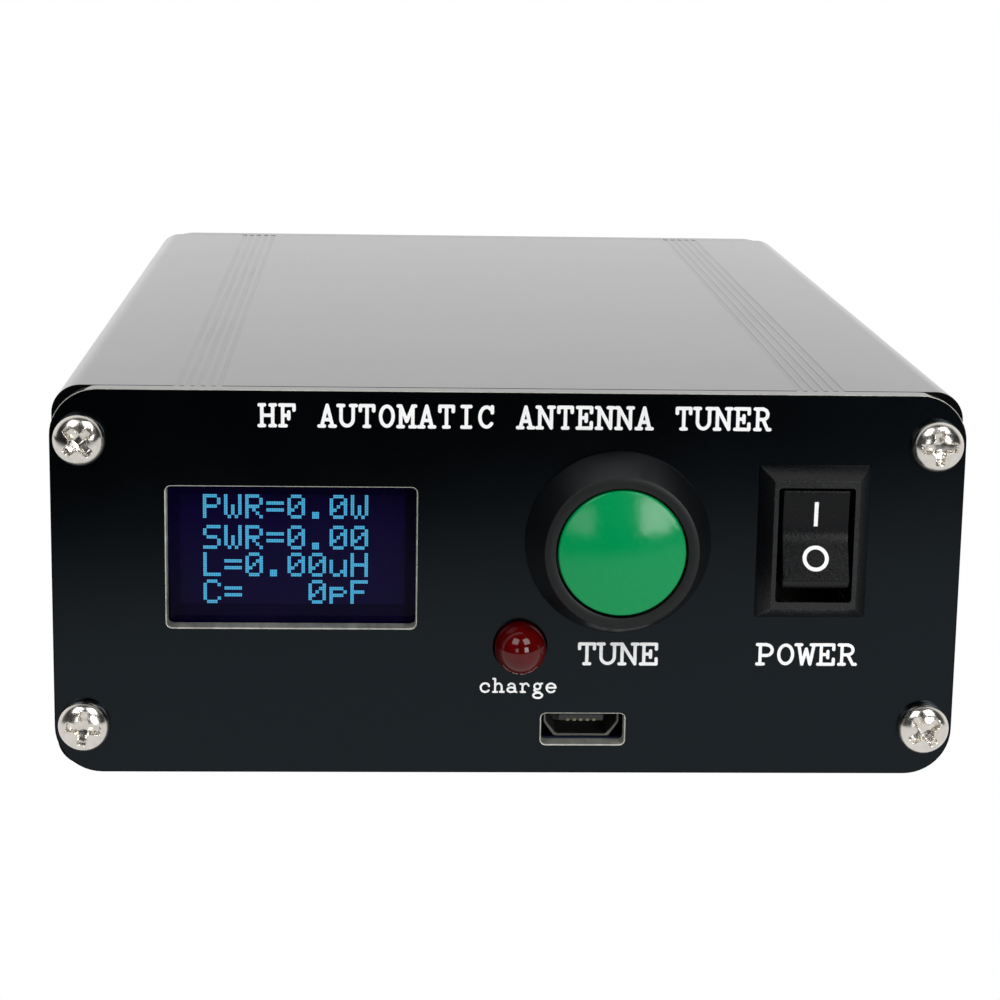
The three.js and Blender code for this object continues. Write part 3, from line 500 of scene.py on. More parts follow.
relay_blue = surface("relay_case", (0.02, 0.08, 0.24), 0.35, vary=0.12, grain=2600.0, bump=0.3)
red_core = surface("powdered_iron", (0.24, 0.03, 0.02), 0.5, vary=0.25, grain=3800.0, bump=0.7)
copper = surface(
    "enamelled_copper", (0.75, 0.33, 0.14), 0.22, 1.0, vary=0.2, grain=1800.0, bump=0.2,
)
foil = surface(
    "foil_wrap", (0.5, 0.51, 0.53), 0.34, 0.8, vary=0.15, grain=260.0, cloud=40.0, bump=0.5,
    relief=0.08,
)
red_wire = surface("red_insulation", (0.4, 0.01, 0.01), 0.4, vary=0.12, grain=2500.0, bump=0.2)
ribbon = surface(
    "grey_ribbon", (0.26, 0.26, 0.28), 0.45, vary=0.25, grain=800.0, stretch=(1.0, 0.02, 0.02),
    bump=0.7,
)
insulator_white = surface(
    "ptfe_insulator", (0.8, 0.78, 0.7), 0.4, vary=0.06, grain=2200.0, bump=0.2,
)

PANEL_MATERIALS = [panel_black, cut_metal, brushed_black, rim_black_painted_shade]

# ---- the case ----

panel_low, panel_high = box("front_panel")
case_width = panel_high.x - panel_low.x
case_height = panel_high.z - panel_low.z
case_middle = (panel_high.z + panel_low.z) / 2
front_face = panel_low.y
rear_face = box("rear_panel")[1].y
SCREW_NAMES = [f"{row}_{side}" for row in ("top", "bottom") for side in ("left", "right")]


def screw_places(end):
    """The middle of each of a panel's screws, by the screw's name."""
    return {name: middle(f"{end}_screw_{name}") for name in SCREW_NAMES}


def make_panel(end, holes):
    """A front or rear panel, with its screws' holes and the given ones."""
    node = f"{end}_panel"
    low, high = box(node)
    holes = [circle(CHANNEL["hole"], p.x, p.z, 24) for p in screw_places(end).values()] + holes
    outline = rounded(case_width, case_height, PANEL["corner"], 0, case_middle, 12)
    mesh = plate_mesh(outline, holes, low.y, high.y, PANEL["edge"])
    cut_edges(add(f"{node}_plate", mesh, "case", PANEL_MATERIALS, [node], 10))


def sized(sizes, x, z, steps):
    """A rectangular hole from its named sizes."""
    return rounded(sizes["width"], sizes["height"], sizes["corner"], x, z, steps)


def front_holes():
    led, button = middle("charge_led"), middle("button_cap")
    usb, switch = middle("usb_shell"), middle("switch_housing")
    return [
        sized(WINDOW, WINDOW["x"], WINDOW["z"], 4),
        sized(USB_HOLE, usb.x, usb.z, 4),
        circle(LIGHT["hole"], led.x, front_led_z(), 40),
        circle(BUTTON["barrel"] + HOLE_GAP, button.x, button.z, 48),
        sized(SWITCH_HOLE, switch.x, switch.z, 3),
    ]


def rear_holes():
    sockets = [middle(f"{name}_socket_shell") for name in ("antenna", "radio")]
    holes = [circle(SOCKET["barrel"] + HOLE_GAP, at.x, at.z, 56) for at in sockets]
    ground = middle("ground_nut")
    return [*holes, circle(GROUND_HOLE, ground.x, ground.z, 24)]


def front_led_z():
    """The charging light's middle: its leads hang down, so its box's top less its flange."""
    return box("charge_led")[1].z - LIGHT["flange"]


def grooved_face(z):
    """Points along a flat top from right to left, with the fine grooves cut in."""
    half_count = (GROOVES["count"] - 1) / 2
    centres = [
        side * GROOVES["x"] + (i - half_count) * GROOVES["pitch"]
        for side in (-1, 1)
        for i in range(GROOVES["count"])
    ]
    wide, narrow, deep = GROOVES["top"] / 2, GROOVES["bottom"] / 2, z - GROOVES["depth"]
    points = []
    for x in sorted(centres, reverse=True):
        points += [(x + wide, z), (x + narrow, deep), (x - narrow, deep), (x - wide, z)]
    return points


def shell_outline(up):
    """Half the extruded case in X and Z. up is 1 for the top half and -1 for the bottom half."""
    half = case_width / 2
    wall, corner = SHELL["wall"], SHELL["corner"]
    inside = half - wall
    inner_corner = corner - wall
    height = case_height / 2
    seam, nick = SHELL["seam"], SHELL["seam_edge"]
    screws = screw_places("front")
    screw = screws["top_right"] if up > 0 else screws["bottom_right"]
    channel_z = abs(screw.z - case_middle)
    right = [(half - nick, seam), (half, seam + nick)]
    right += arc(half - corner, height - corner, corner, corner, 0, 90, 12)
    left = [(-x, z) for x, z in reversed(right)]
    if up > 0:
        lip_out = inside - LIP["gap"]
        lip_in = lip_out - LIP["thickness"]
        foot = [
            (lip_out, seam), (lip_out, -LIP["below"]), (lip_in, -LIP["below"]),
            (lip_in, LIP["above"]), (inside, LIP["above"]),
        ]
    else:
        foot = [(inside, seam)]
    inner = arc(
        screw.x, channel_z, CHANNEL["radius"], CHANNEL["radius"],
        CHANNEL["stop"], CHANNEL["start"], 18,
    )
    inner += arc(
        inside - inner_corner, height - wall - inner_corner, inner_corner, inner_corner, 30, 90, 4,
    )
    inner = foot + inner
    outside = right + grooved_face(height) + left
    outline = outside + [(-x, z) for x, z in inner] + inner[::-1]
    placed = [(x, case_middle + up * z) for x, z in outline]
    holes = [
        circle(CHANNEL["bore"], side * screw.x, case_middle + up * channel_z, 20)
        for side in (-1, 1)
    ]
    return (placed if up > 0 else placed[::-1]), holes


def make_shells():
    corner_x = case_width / 2 - SHELL["corner"]
    for up, node in ((1, "top_shell"), (-1, "bottom_shell")):
        low, high = box(node)
        outline, holes = shell_outline(up)
        mesh = plate_mesh(outline, holes, low.y, high.y, SHELL["edge"])
        materials = [brushed_black, rim_black_painted_shade, groove_black_painted_shade]
        shell = add(f"{node}_extrusion", mesh, "case", materials, [node], sharp=10)
        groove_floor = (high.z if up > 0 else low.z) - up * GROOVES["depth"] / 2
        for polygon in shell.data.polygons:
            x, _, z = polygon.center / MM
            below = up * (groove_floor - z) > 0
            # The extrusion's end faces take the same black as the panels' rims, painted shade.
            if abs(polygon.normal.y) > 0.5:
                polygon.material_index = materials.index(rim_black_painted_shade)
            # Groove floors take the less reflective copy, painted shade in the grooves.
            elif polygon.normal.z * up > 0.9 and below and abs(x) < corner_x:
                polygon.material_index = materials.index(groove_black_painted_shade)


# ---- case screws ----


def smoothstep(edge0, edge1, value):
    t = min(1.0, max(0.0, (value - edge0) / (edge1 - edge0)))
    return t * t * (3 - 2 * t)


def recess_depth(u, v):
    """How deep a cross recess is at (u, v) from the screw's axis."""
    along, across = max(abs(u), abs(v)), min(abs(u), abs(v))
    flare = RECESS["flare"] * (1 - smoothstep(0.1, 0.85, along))
    edge = RECESS["half_width"] + flare
    side = 1 - smoothstep(edge - RECESS["wall"], edge, across)
    end = 1 - smoothstep(RECESS["arm"] - RECESS["wall"], RECESS["arm"], along)
    floor = 1 - 0.6 * smoothstep(0.2, RECESS["arm"], along)
    return RECESS["depth"] * floor * side * end


def screw_head_height(r):
    share = min(1.0, r / SCREW["head"])
    crown = (1 - share**2.4) ** 0.55
    return SCREW["side"] + (SCREW["height"] - SCREW["side"]) * crown


def make_screw(end, name, at):
    turn = math.radians(RECESS_TURNS[end][name])
    facing = -1 if end == "front" else 1
    seat = front_face if end == "front" else rear_face
    steps = 128
    shank, thread = SCREW["shank"], SCREW["thread"]
    at = Vector((at.x, seat, at.z))
    loops = []
    for r in [0.06 * i for i in range(1, 28)] + HEAD_EDGE_RADII:
        loop = []
        for x, _, z in turned_loop(r, 0, Vector(), steps):
            u = x * math.cos(turn) + z * math.sin(turn)
            v = -x * math.sin(turn) + z * math.cos(turn)
            height = screw_head_height(r) - recess_depth(u, v)
            loop.append((at.x + x, seat + facing * height, at.z + z))
        loops.append(loop)
    below = [(2.5, 0.14), (2.46, 0.1), (shank, 0.1), (shank, -0.4)]
    pitch = 0.5
    for i in range(int((SCREW["length"] - 1.4) / pitch)):
        y = -pitch - i * pitch
        below += [(shank - thread, y), (shank, y - pitch / 2)]
    below.append((0.5, -SCREW["length"]))
    loops += turned([(r, facing * height) for r, height in below], at, steps)
    node = f"{end}_screw_{name}"
    add(f"{node}_pan_head", loft(loops), "case", [nickel], [node], sharp=40)


# ---- the display ----

FONT_5X7 = {
    "P": "11110 10001 10001 11110 10000 10000 10000",
    "W": "10001 10001 10001 10101 10101 10101 01010",
    "R": "11110 10001 10001 11110 10100 10010 10001",
    "S": "01111 10000 10000 01110 00001 00001 11110",
    "L": "10000 10000 10000 10000 10000 10000 11111",
    "C": "01110 10001 10000 10000 10000 10001 01110",
    "H": "10001 10001 10001 11111 10001 10001 10001",
    "F": "11111 10000 10000 11110 10000 10000 10000",
    "u": "00000 00000 10001 10001 10001 10011 01101",
    "p": "00000 00000 11110 10001 11110 10000 10000",
    "=": "00000 00000 11111 00000 11111 00000 00000",
    ".": "00000 00000 00000 00000 00000 01100 01100",
    "0": "01110 10001 10011 10101 11001 10001 01110",
    " ": "00000 00000 00000 00000 00000 00000 00000",
}
LINES = ("PWR=0.0W", "SWR=0.00", "L=0.00uH", "C=   0pF")


def make_display():
    low, high = box("display_glass")
    at, size = (low + high) / 2, high - low
    outline = rounded(size.x, size.z, 0.3, at.x, at.z, 4)
    pane = loft([at_depth(outline, y) for y in (low.y, high.y)])
    bevel(add("display_pane", pane, "case", [glass], ["display_glass"]), 0.12)
    pitch = PIXEL["pitch"]
    left, top = PIXEL["left"], PIXEL["top"]
    right, bottom = left + PIXEL["columns"] * pitch, top - PIXEL["rows"] * pitch
    front = low.y - FLOAT_GAP / 2
    outline = [(left, bottom), (right, bottom), (right, top), (left, top)]
    add(
        "display_active_area", area_mesh([outline], front, low.y), "case", [lit_area],
    )
    points, faces = [], []
    dot = pitch * PIXEL["lit"]
    scale = READOUT["scale"]
    for line, row_top in zip(LINES, READOUT["tops"]):
        for place, character in enumerate(line):
            start = READOUT["first_column"] + place * READOUT["advance"]
            for row, bits in enumerate(FONT_5X7[character].split()):
                for column, bit in enumerate(bits):
                    if bit == "1":
                        cell = (start + scale * column, row_top + scale * row)
                        add_dots(points, faces, cell, dot, front)
    add("display_readout", (points, faces), "case", [pixels_lit])


def add_dots(points, faces, cell, dot, front):
    """The four lit dots of one font pixel."""
    for dx in range(READOUT["scale"]):
        for dz in range(READOUT["scale"]):
            x = PIXEL["left"] + (cell[0] + dx) * PIXEL["pitch"]
            z = PIXEL["top"] - (cell[1] + dz) * PIXEL["pitch"]
            start = len(points)
            corners = [(x, z), (x + dot, z), (x + dot, z - dot), (x, z - dot)]
            for y in (front - FLOAT_GAP / 2, front):
                points += at_depth(corners, y)
            faces.append([start + 3, start + 2, start + 1, start])
            faces.append([start + 4, start + 5, start + 6, start + 7])
            for i in range(4):
                j = (i + 1) % 4
                faces.append([start + i, start + j, start + 4 + j, start + 4 + i])


# ---- lettering ----

# Each capital is drawn in strokes, centred on x = 0, between the heights 0 and 1. Stroke ends are
# the middles of the pen. Lower case letters have an x-height of about 0.7.
PEN = 0.145
TOP, BASE = 1 - PEN / 2, PEN / 2
MID = 0.5
HALF_WIDTH = 0.31


def serif(x, z, left=0.12, right=0.12):
    return [(x - left, z), (x + right, z)]


def post(x):
    return [(x, TOP), (x, BASE)]


GLYPHS = {
    "A": [
        [(-0.25, BASE), (0, TOP), (0.25, BASE)], [(-0.17, 0.34), (0.17, 0.34)],
        serif(-0.25, BASE), serif(0.25, BASE),
    ],
    "C": [arc(0.02, MID, 0.31, 0.41, 48, 318, 20), [(0.28, TOP), (0.28, 0.68)]],
    "E": [
        post(-0.23), [(-0.36, TOP), (0.29, TOP), (0.29, 0.72)],
        [(-0.36, BASE), (0.29, BASE), (0.29, 0.3)], [(-0.23, MID), (0.04, MID)],
        [(0.05, 0.64), (0.05, 0.36)],
    ],
    "F": [
        post(-0.21), [(-0.34, TOP), (0.31, TOP), (0.31, 0.72)], [(-0.21, MID), (0.06, MID)],
        [(0.07, 0.64), (0.07, 0.36)], serif(-0.21, BASE, 0.13, 0.15),
    ],
    "H": [
        post(-0.25), post(0.25), [(-0.25, MID), (0.25, MID)], serif(-0.25, TOP),
        serif(0.25, TOP), serif(-0.25, BASE), serif(0.25, BASE),
    ],
    "I": [post(0), serif(0, TOP, 0.2, 0.2), serif(0, BASE, 0.2, 0.2)],
    "M": [
        [(-0.28, BASE), (-0.28, TOP), (0, 0.3), (0.28, TOP), (0.28, BASE)],
        serif(-0.28, BASE), serif(0.28, BASE), serif(-0.32, TOP, 0.08, 0),
        serif(0.32, TOP, 0, 0.08),
    ],
    "N": [
        [(-0.27, BASE), (-0.27, TOP), (0.27, BASE), (0.27, TOP)], serif(-0.27, BASE),
        serif(0.27, TOP), serif(-0.3, TOP, 0.1, 0),
    ],
    "O": [arc(0, MID, 0.29, 0.41, 0, 360, 28)],
    "P": [
        post(-0.21), [(-0.34, TOP), (0.06, TOP)], arc(0.06, 0.68, 0.23, 0.23, 90, -90, 12),
        [(0.06, 0.45), (-0.21, 0.45)], serif(-0.21, BASE, 0.13, 0.15),
    ],
    "R": [
        post(-0.22), [(-0.35, TOP), (0.03, TOP)], arc(0.03, 0.7, 0.21, 0.21, 90, -90, 12),
        [(0.03, 0.49), (-0.22, 0.49)], [(0.03, 0.49), (0.25, BASE), (0.36, BASE)],
        serif(-0.22, BASE),
    ],
    "T": [
        post(0), [(-0.31, 0.72), (-0.31, TOP), (0.31, TOP), (0.31, 0.72)], serif(0, BASE),
    ],
    "U": [
        [(-0.28, TOP), (-0.28, 0.38), *arc(0, 0.38, 0.28, 0.29, 180, 360, 14), (0.28, TOP)],
        serif(-0.29, TOP, 0.13, 0.13), serif(0.29, TOP, 0.13, 0.13),
    ],
    "W": [
        [(-0.32, TOP), (-0.17, BASE), (0, 0.74), (0.17, BASE), (0.32, TOP)],
        serif(-0.32, TOP, 0.12, 0.12), serif(0.32, TOP, 0.12, 0.12),
    ],
    "a": [
        [*arc(0, 0.42, 0.2, 0.2, 155, 10, 10), (0.22, 0.3), (0.24, 0.09), (0.32, 0.08)],
        arc(-0.01, 0.22, 0.23, 0.15, 0, 360, 18),
    ],
    "c": [arc(0.02, 0.35, 0.28, 0.28, 40, 320, 18), [(0.23, 0.53), (0.25, 0.44)]],
    "e": [arc(0, 0.35, 0.28, 0.28, 0, 318, 20), [(-0.28, 0.36), (0.28, 0.36)]],
    "g": [
        arc(-0.03, 0.44, 0.19, 0.19, 0, 360, 18), [(0.1, 0.58), (0.26, 0.63)],
        [(-0.17, 0.3), (-0.21, 0.17), (-0.1, 0.09), (0.12, 0.06)],
        arc(0, -0.14, 0.28, 0.17, 0, 360, 20),
    ],
    "h": [
        [(-0.3, 0.92), (-0.19, 0.92), (-0.19, 0.08)],
        [(-0.19, 0.45), *arc(0.02, 0.4, 0.2, 0.22, 150, 0, 10), (0.22, 0.08)],
        serif(-0.19, 0.08), serif(0.23, 0.08),
    ],
    "r": [
        [(-0.26, 0.6), (-0.13, 0.6), (-0.13, 0.08)],
        [(-0.13, 0.42), *arc(0.07, 0.4, 0.19, 0.22, 160, 35, 8), (0.25, 0.48)],
        serif(-0.12, 0.08, 0.12, 0.14),
    ],
    " ": [],
}


def capsule(a, b, radius, steps=8):
    """The outline of a round-ended pen stroke from a to b."""
    angle = math.degrees(math.atan2(b[1] - a[1], b[0] - a[0]))
    far = arc(b[0], b[1], radius, radius, angle - 90, angle + 90, steps)
    near = arc(a[0], a[1], radius, radius, angle + 90, angle + 270, steps)
    return far + near


def letters(text, left, right, base, height, pen, width):
    """The stroke outlines of a line of text whose pen reaches from left to right.

    Pen and width are shares of the strokes' height and width.
    """
    side = width * HALF_WIDTH + pen / 2
    advance = (right - left - 2 * side * height) / (len(text) - 1)
    loops = []
    for i, character in enumerate(text):
        x = left + side * height + i * advance
        for stroke in GLYPHS[character]:
            places = [(x + width * u * height, base + v * height) for u, v in stroke]
            for a, b in zip(places, places[1:]):
                loops.append(capsule(a, b, pen * height / 2))
    return loops


LABELS = {
    "heading_label": ("HF AUTOMATIC ANTENNA TUNER", -24.1, 24.9, 34.4, 2.34, PEN, 0.88),
    "tune_label": ("TUNE", 6.86, 14.75, 11.0, 2.34, 0.138, 1.0),
    "power_label": ("POWER", 24.35, 34.2, 11.05, 2.3, 0.138, 1.02),
    "charge_label": ("charge", -2.75, 4.9, 8.15, 1.58, 0.125, 1.0),
}


def make_labels():
    for name, label in LABELS.items():
        mesh = area_mesh(letters(*label), front_face - FLOAT_GAP, front_face)
        add(name, mesh, "case", [ink])


# ---- the tune button ----


def make_button():
    at = on_front("button_body")
    lip, bore, height, barrel, base = (
        BUTTON[k] for k in ("lip", "bore", "height", "barrel", "base")
    )
    end = box("button_body")[1].y - front_face
    thread = []
    for i in range(int(end - 6.6)):
        thread += [(barrel, 5.6 + i), (barrel - 0.3, 6.1 + i)]
    profile = [
        (0.0, end - 1.5), (7.1, end - 1.5), (7.1, -2.5), (bore, -2.5), (bore, -height + 0.12),
        (bore + 0.04, -height + 0.03), (bore + 0.13, -height), (lip - 0.16, -height),
        (lip - 0.06, -height + 0.03), (lip, -height + 0.11), (lip + 0.05, -height + 0.24),
        (base - 0.12, -0.62), (base - 0.02, -0.42), (base, -0.3), (base, -0.1), (barrel, -0.1),
        (barrel, 5.4), *thread,
        (barrel, end - 0.3), (barrel - 0.3, end), (0.0, end),
    ]
    add(
        "button_housing", loft(turned(profile, at, 144)), "case", [button_black],
        ["button_body"],
    )
    cap = [(0.0, -5.9)]
    rings = 16
    radius, rise, edge = BUTTON["cap"], 0.9, 0.28
    for i in range(1, rings + 1):
        share = i / rings
        cap.append(((radius - edge) * share, -height - rise * (1 - share**2)))
    for i in range(1, 7):
        a = math.radians(90 * i / 6)
        cap.append((radius - edge + edge * math.sin(a), -height + edge * (1 - math.cos(a))))
    cap += [
        (radius, -2.4), (6.8, -2.4), (6.8, -1.4), (1.8, -1.4), (1.8, 8.3), (1.6, 8.5), (0.0, 8.5),
    ]
    add(
        "button_cap_dome", loft(turned(cap, at, 144)), "tune_button",
        [button_green], ["button_cap"],
    )


def make_return_spring():
    """The spring behind the cap, wound within the box of the CAD spring it replaces."""
    low, high = box("button_spring")
    at = middle("button_spring")
    wire, turns = SPRING["wire"], SPRING["turns"]
    radius = (high.x - low.x) / 2 - wire
    length = high.y - low.y - 2 * wire
    per_turn = 28
    count = turns * per_turn
    slope = math.atan2(length / turns, 2 * math.pi * radius)
    loops = []
    for i in range(count + 1):
        a = 2 * math.pi * i / per_turn
        y = low.y + wire + length * i / count
        loop = []
        for k in range(10):
            b = 2 * math.pi * k / 10
            out = radius + wire * math.cos(b)
            along = -wire * math.sin(b) * math.sin(slope)
            x = at.x + out * math.cos(a) - along * math.sin(a)
            z = at.z + out * math.sin(a) + along * math.cos(a)
            loop.append((x, y + wire * math.sin(b) * math.cos(slope), z))
        loops.append(loop)
    spring = add(
        "button_return_coil", loft(loops), "case", [nickel], ["button_spring"], 60,
    )
    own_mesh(spring)


# ---- the power switch ----


def make_switch():
    at = middle("switch_housing")
    rows = [
        (10.5, 8.6, 13.6, 0.3), (-0.1, 8.6, 13.6, 0.3), (-0.1, 10.8, 15.2, 0.22),
        (-0.7, 10.3, 14.7, 0.2), (-2.0, 8.25, 12.65, 0.12), (-2.0, 7.4, 11.3, 0.3),
        (-1.4, 7.4, 11.3, 0.3), (-1.4, 7.4, 12.4, 0.3), (9.0, 7.4, 12.4, 0.3),
    ]
    surround = add(
        "switch_surround",
        loft([
            at_depth(rounded(width, height, corner, at.x, at.z, 4), front_face + y)
            for y, width, height, corner in rows
        ]),
        "case", [switch_black], ["switch_housing"],
    )
    bevel(surround, 0.12)


def rocker_face(z):
    """How far the rocker's hollow face lies in front of its pivot, at a height from it."""
    half, blend = ROCKER["half"], ROCKER["blend"]
    hollow = 1 - math.hypot(z, blend) / math.hypot(half, blend)
    return -ROCKER["rise"] + ROCKER["dish"] * hollow


def rocker_place(points):
    """Turns points about the rocker's pivot into the place they have at rest."""
    at = middle("switch_housing")
    turn = Matrix.Rotation(-math.radians(ROCKER["tilt"]), 3, "X")
    origin = Vector((at.x, front_face + ROCKER["pivot"], at.z))
    return [origin + turn @ Vector(p) for p in points]


def make_rocker():
    half, rise = ROCKER["half"], ROCKER["rise"]
    out, drop = 0.87, 1.22
    steps = 20
    side = [(rocker_face(z), z) for z in (half - 2 * half * i / steps for i in range(steps + 1))]
    lower = [
        (-rise + drop * 0.5, -half - out * 0.72), (-rise + drop, -half - out), (-1.0, -4.5),
        (1.6, -1.8),
    ]
    side += lower + [(y, -z) for y, z in reversed(lower)]
    loops = [
        rocker_place([(x * ROCKER["width"] / 2, y, z) for y, z in side]) for x in (-1, 1)
    ]
    paddle = add(
        "rocker_paddle", loft(loops), "power_rocker", [rocker_black],
        ["switch_rocker"], sharp=26,
    )
    bevel(paddle, 0.16, 24)
    points, faces = joined(bar_mark(), ring_mark())
    add("rocker_marks", (rocker_place(points), faces), "power_rocker", [ink])


def bar_mark():
    """The on mark, sliced so that it follows the rocker's hollow face."""
    half, tall = (size / 2 for size in MARKS["bar"])
    rows = 12
    loops = []
    for i in range(rows + 1):
        z = MARKS["bar_z"] - tall + 2 * tall * i / rows
        front, back = rocker_face(z) - FLOAT_GAP, rocker_face(z) + FLOAT_GAP
        loops.append([(-half, front, z), (half, front, z), (half, back, z), (-half, back, z)])
    return loft(loops)


def ring_mark():
    """The off mark, on the rocker's hollow face."""
    points, faces = [], []
    count = 56
    for i in range(count):
        a = 2 * math.pi * i / count
        for radius in MARKS["ring"]:
            x = radius * math.cos(a)
            z = MARKS["ring_z"] + radius * math.sin(a) * MARKS["squash"]
            for lift in (FLOAT_GAP, -FLOAT_GAP):
                points.append((x, rocker_face(z) - lift, z))
        a, b = 4 * i, 4 * ((i + 1) % count)
        faces += [
            [a, a + 2, b + 2, b], [a + 1, b + 1, b + 3, a + 3], [a, b, b + 1, a + 1],
            [a + 2, a + 3, b + 3, b + 2],
        ]
    return points, faces


# ---- the charging light and socket ----


def prism(outline, x, half):
    """A bar of one section in Y and Z, reaching half to each side of x."""
    return loft([[(x + side, y, z) for y, z in outline] for side in (-half, half)])


def make_charging_light():
    led_z = front_led_z()
    low, high = box("charge_led")
    at = on_front("charge_led")
    at.z = led_z
    radius, straight = LIGHT["radius"], LIGHT["straight"]
    profile = [(0.0, -straight - radius)]
    for i in range(1, 21):
        a = math.radians(90 * i / 20)
        profile.append((radius * math.sin(a), -straight - radius * math.cos(a)))
    profile += [
        (radius, 2.05), (2.55, 2.1), (2.85, 2.1), (2.9, 2.15), (2.9, 3.0), (2.8, 3.1), (0.0, 3.1),
    ]
    lens = loft(turned(profile, at, 72))
    add("charging_light", lens, "case", [red_lens], ["charge_led"])
    lead, half, start = 0.5, 0.25, front_face + 3.0
    outline = [
        (start, led_z - half), (start, led_z + half), (high.y, led_z + half), (high.y, low.z),
        (high.y - lead, low.z), (high.y - lead, led_z - half),
    ]
    leads = [prism(outline, at.x + side * 1.27, half) for side in (-1, 1)]
    add("charging_light_leads", joined(*leads), "case", [tinned])


def make_charging_socket():
    low, high = box("usb_shell")
    at = middle("usb_shell")
    wall, round_ = USB["wall"], 0.06
    rows = [
        (wall, high.y), (wall, low.y + round_), (wall - round_, low.y), (round_, low.y),
        (0.0, low.y + round_), (0.0, high.y),
    ]
    shell = loft([usb_loop(inset, y, at) for inset, y in rows], ring=True)
    add("usb_socket_shell", shell, "case", [socket_steel_painted_shade], ["usb_shell"])
    low, high = box("usb_tongue")
    back = high.y - 1.0
    top = at.z + USB["rise"] - wall - 0.35
    block = loft([usb_loop(0.3, high.y - 0.02, at), usb_loop(0.3, back, at)])
    section = rounded(4.4, 0.6, 0.12, at.x, top - 0.3, 3)
    blade = loft([at_depth(section, y) for y in (back + 0.05, low.y)])
    add(
        "usb_socket_tongue", joined(block, blade), "case", [moulding],
        ["usb_tongue"],
    )
    finger = [
        (low.y - 0.02, top - 0.42), (low.y - 0.02, top - 0.66), (back, top - 0.66),
        (back, top - 0.6), (low.y + 0.02, top - 0.6), (low.y + 0.02, top - 0.42),
    ]
    count, pitch = USB["contacts"], USB["contact_pitch"]
    contacts = [prism(finger, at.x + (i - count // 2) * pitch, 0.15) for i in range(count)]
    add("usb_socket_contacts", joined(*contacts), "case", [dull_brass])


def usb_loop(inset, y, at):
    """The socket's outline, its lower corners cut away, at one depth."""
    half, high, low = USB["half"] - inset, USB["rise"] - inset, -USB["rise"] + inset
    wide, tall = 1.1, 1.5 - inset * 0.4
    corner = max(0.08, 0.4 - inset)
    points = arc(half - corner, high - corner, corner, corner, 0, 90, 5)
    points += arc(-half + corner, high - corner, corner, corner, 90, 180, 5)
    lower = [
        (-half, low + tall), (-half + wide * 0.12, low + tall * 0.84),
        (-half + wide * 0.88, low + 0.06), (-half + wide + 0.1, low),
    ]
    points += lower + [(-x, z) for x, z in reversed(lower)]
    return [(at.x + x, y, at.z + z) for x, z in points]


# ---- the rear sockets and the ground terminal ----


def helix(pitch, depth, start, stop):
    """A ripple that cuts a V thread into a bar, fading at the thread's two ends."""

    def ripple(angle, y):
        phase = (y / pitch - angle / (2 * math.pi)) % 1.0
        fade = smoothstep(start, start + pitch, y) * (1 - smoothstep(stop - pitch, stop, y))
        return -depth * abs(2 * phase - 1) ** 0.8 * fade

    return ripple


def threaded_bar(radius, start, stop, pitch, depth, at, steps):
    """The loops of a threaded bar from start to stop."""
    rows = int((stop - start) / pitch * 8)
    cut = helix(pitch, depth, start, stop)
    depths = [start + (stop - start) * i / rows for i in range(rows + 1)]
    return [turned_loop(lambda a, y=y: radius + cut(a, y), y, at, steps) for y in depths]


def make_nut(name, node, bore, at):
    """A chamfered hexagon nut in the place of a node's."""
    low, high = box(node)
    flats = min(high.x - low.x, high.z - low.z)
    y0, y1 = low.y - rear_face, high.y - rear_face
    steps = 96
    chamfer = min(NUT["chamfer"], (y1 - y0) / 3)

    def reach(a, limit):
        sector = (a + math.pi / 6) % (math.pi / 3) - math.pi / 6
        return min(flats / 2 / math.cos(sector), limit)

    base = flats / 2 * 0.985
    shares = [i / 5 for i in range(6)]
    limits = [(chamfer * s, base + chamfer * s * NUT["slope"]) for s in shares]
    rows = [(y0 + y, limit) for y, limit in limits]
    rows += [(y1 - y, limit) for y, limit in reversed(limits)]
    loops = [turned_loop(bore, y0, at, steps)]
    for y, limit in rows:
        loops.append(turned_loop(lambda a, limit=limit: reach(a, limit), y, at, steps))
    loops += turned([(bore + 0.25, y1), (bore, y1 - 0.25)], at, steps)
    add(name, loft(loops, ring=True), "case", [nickel], [node])


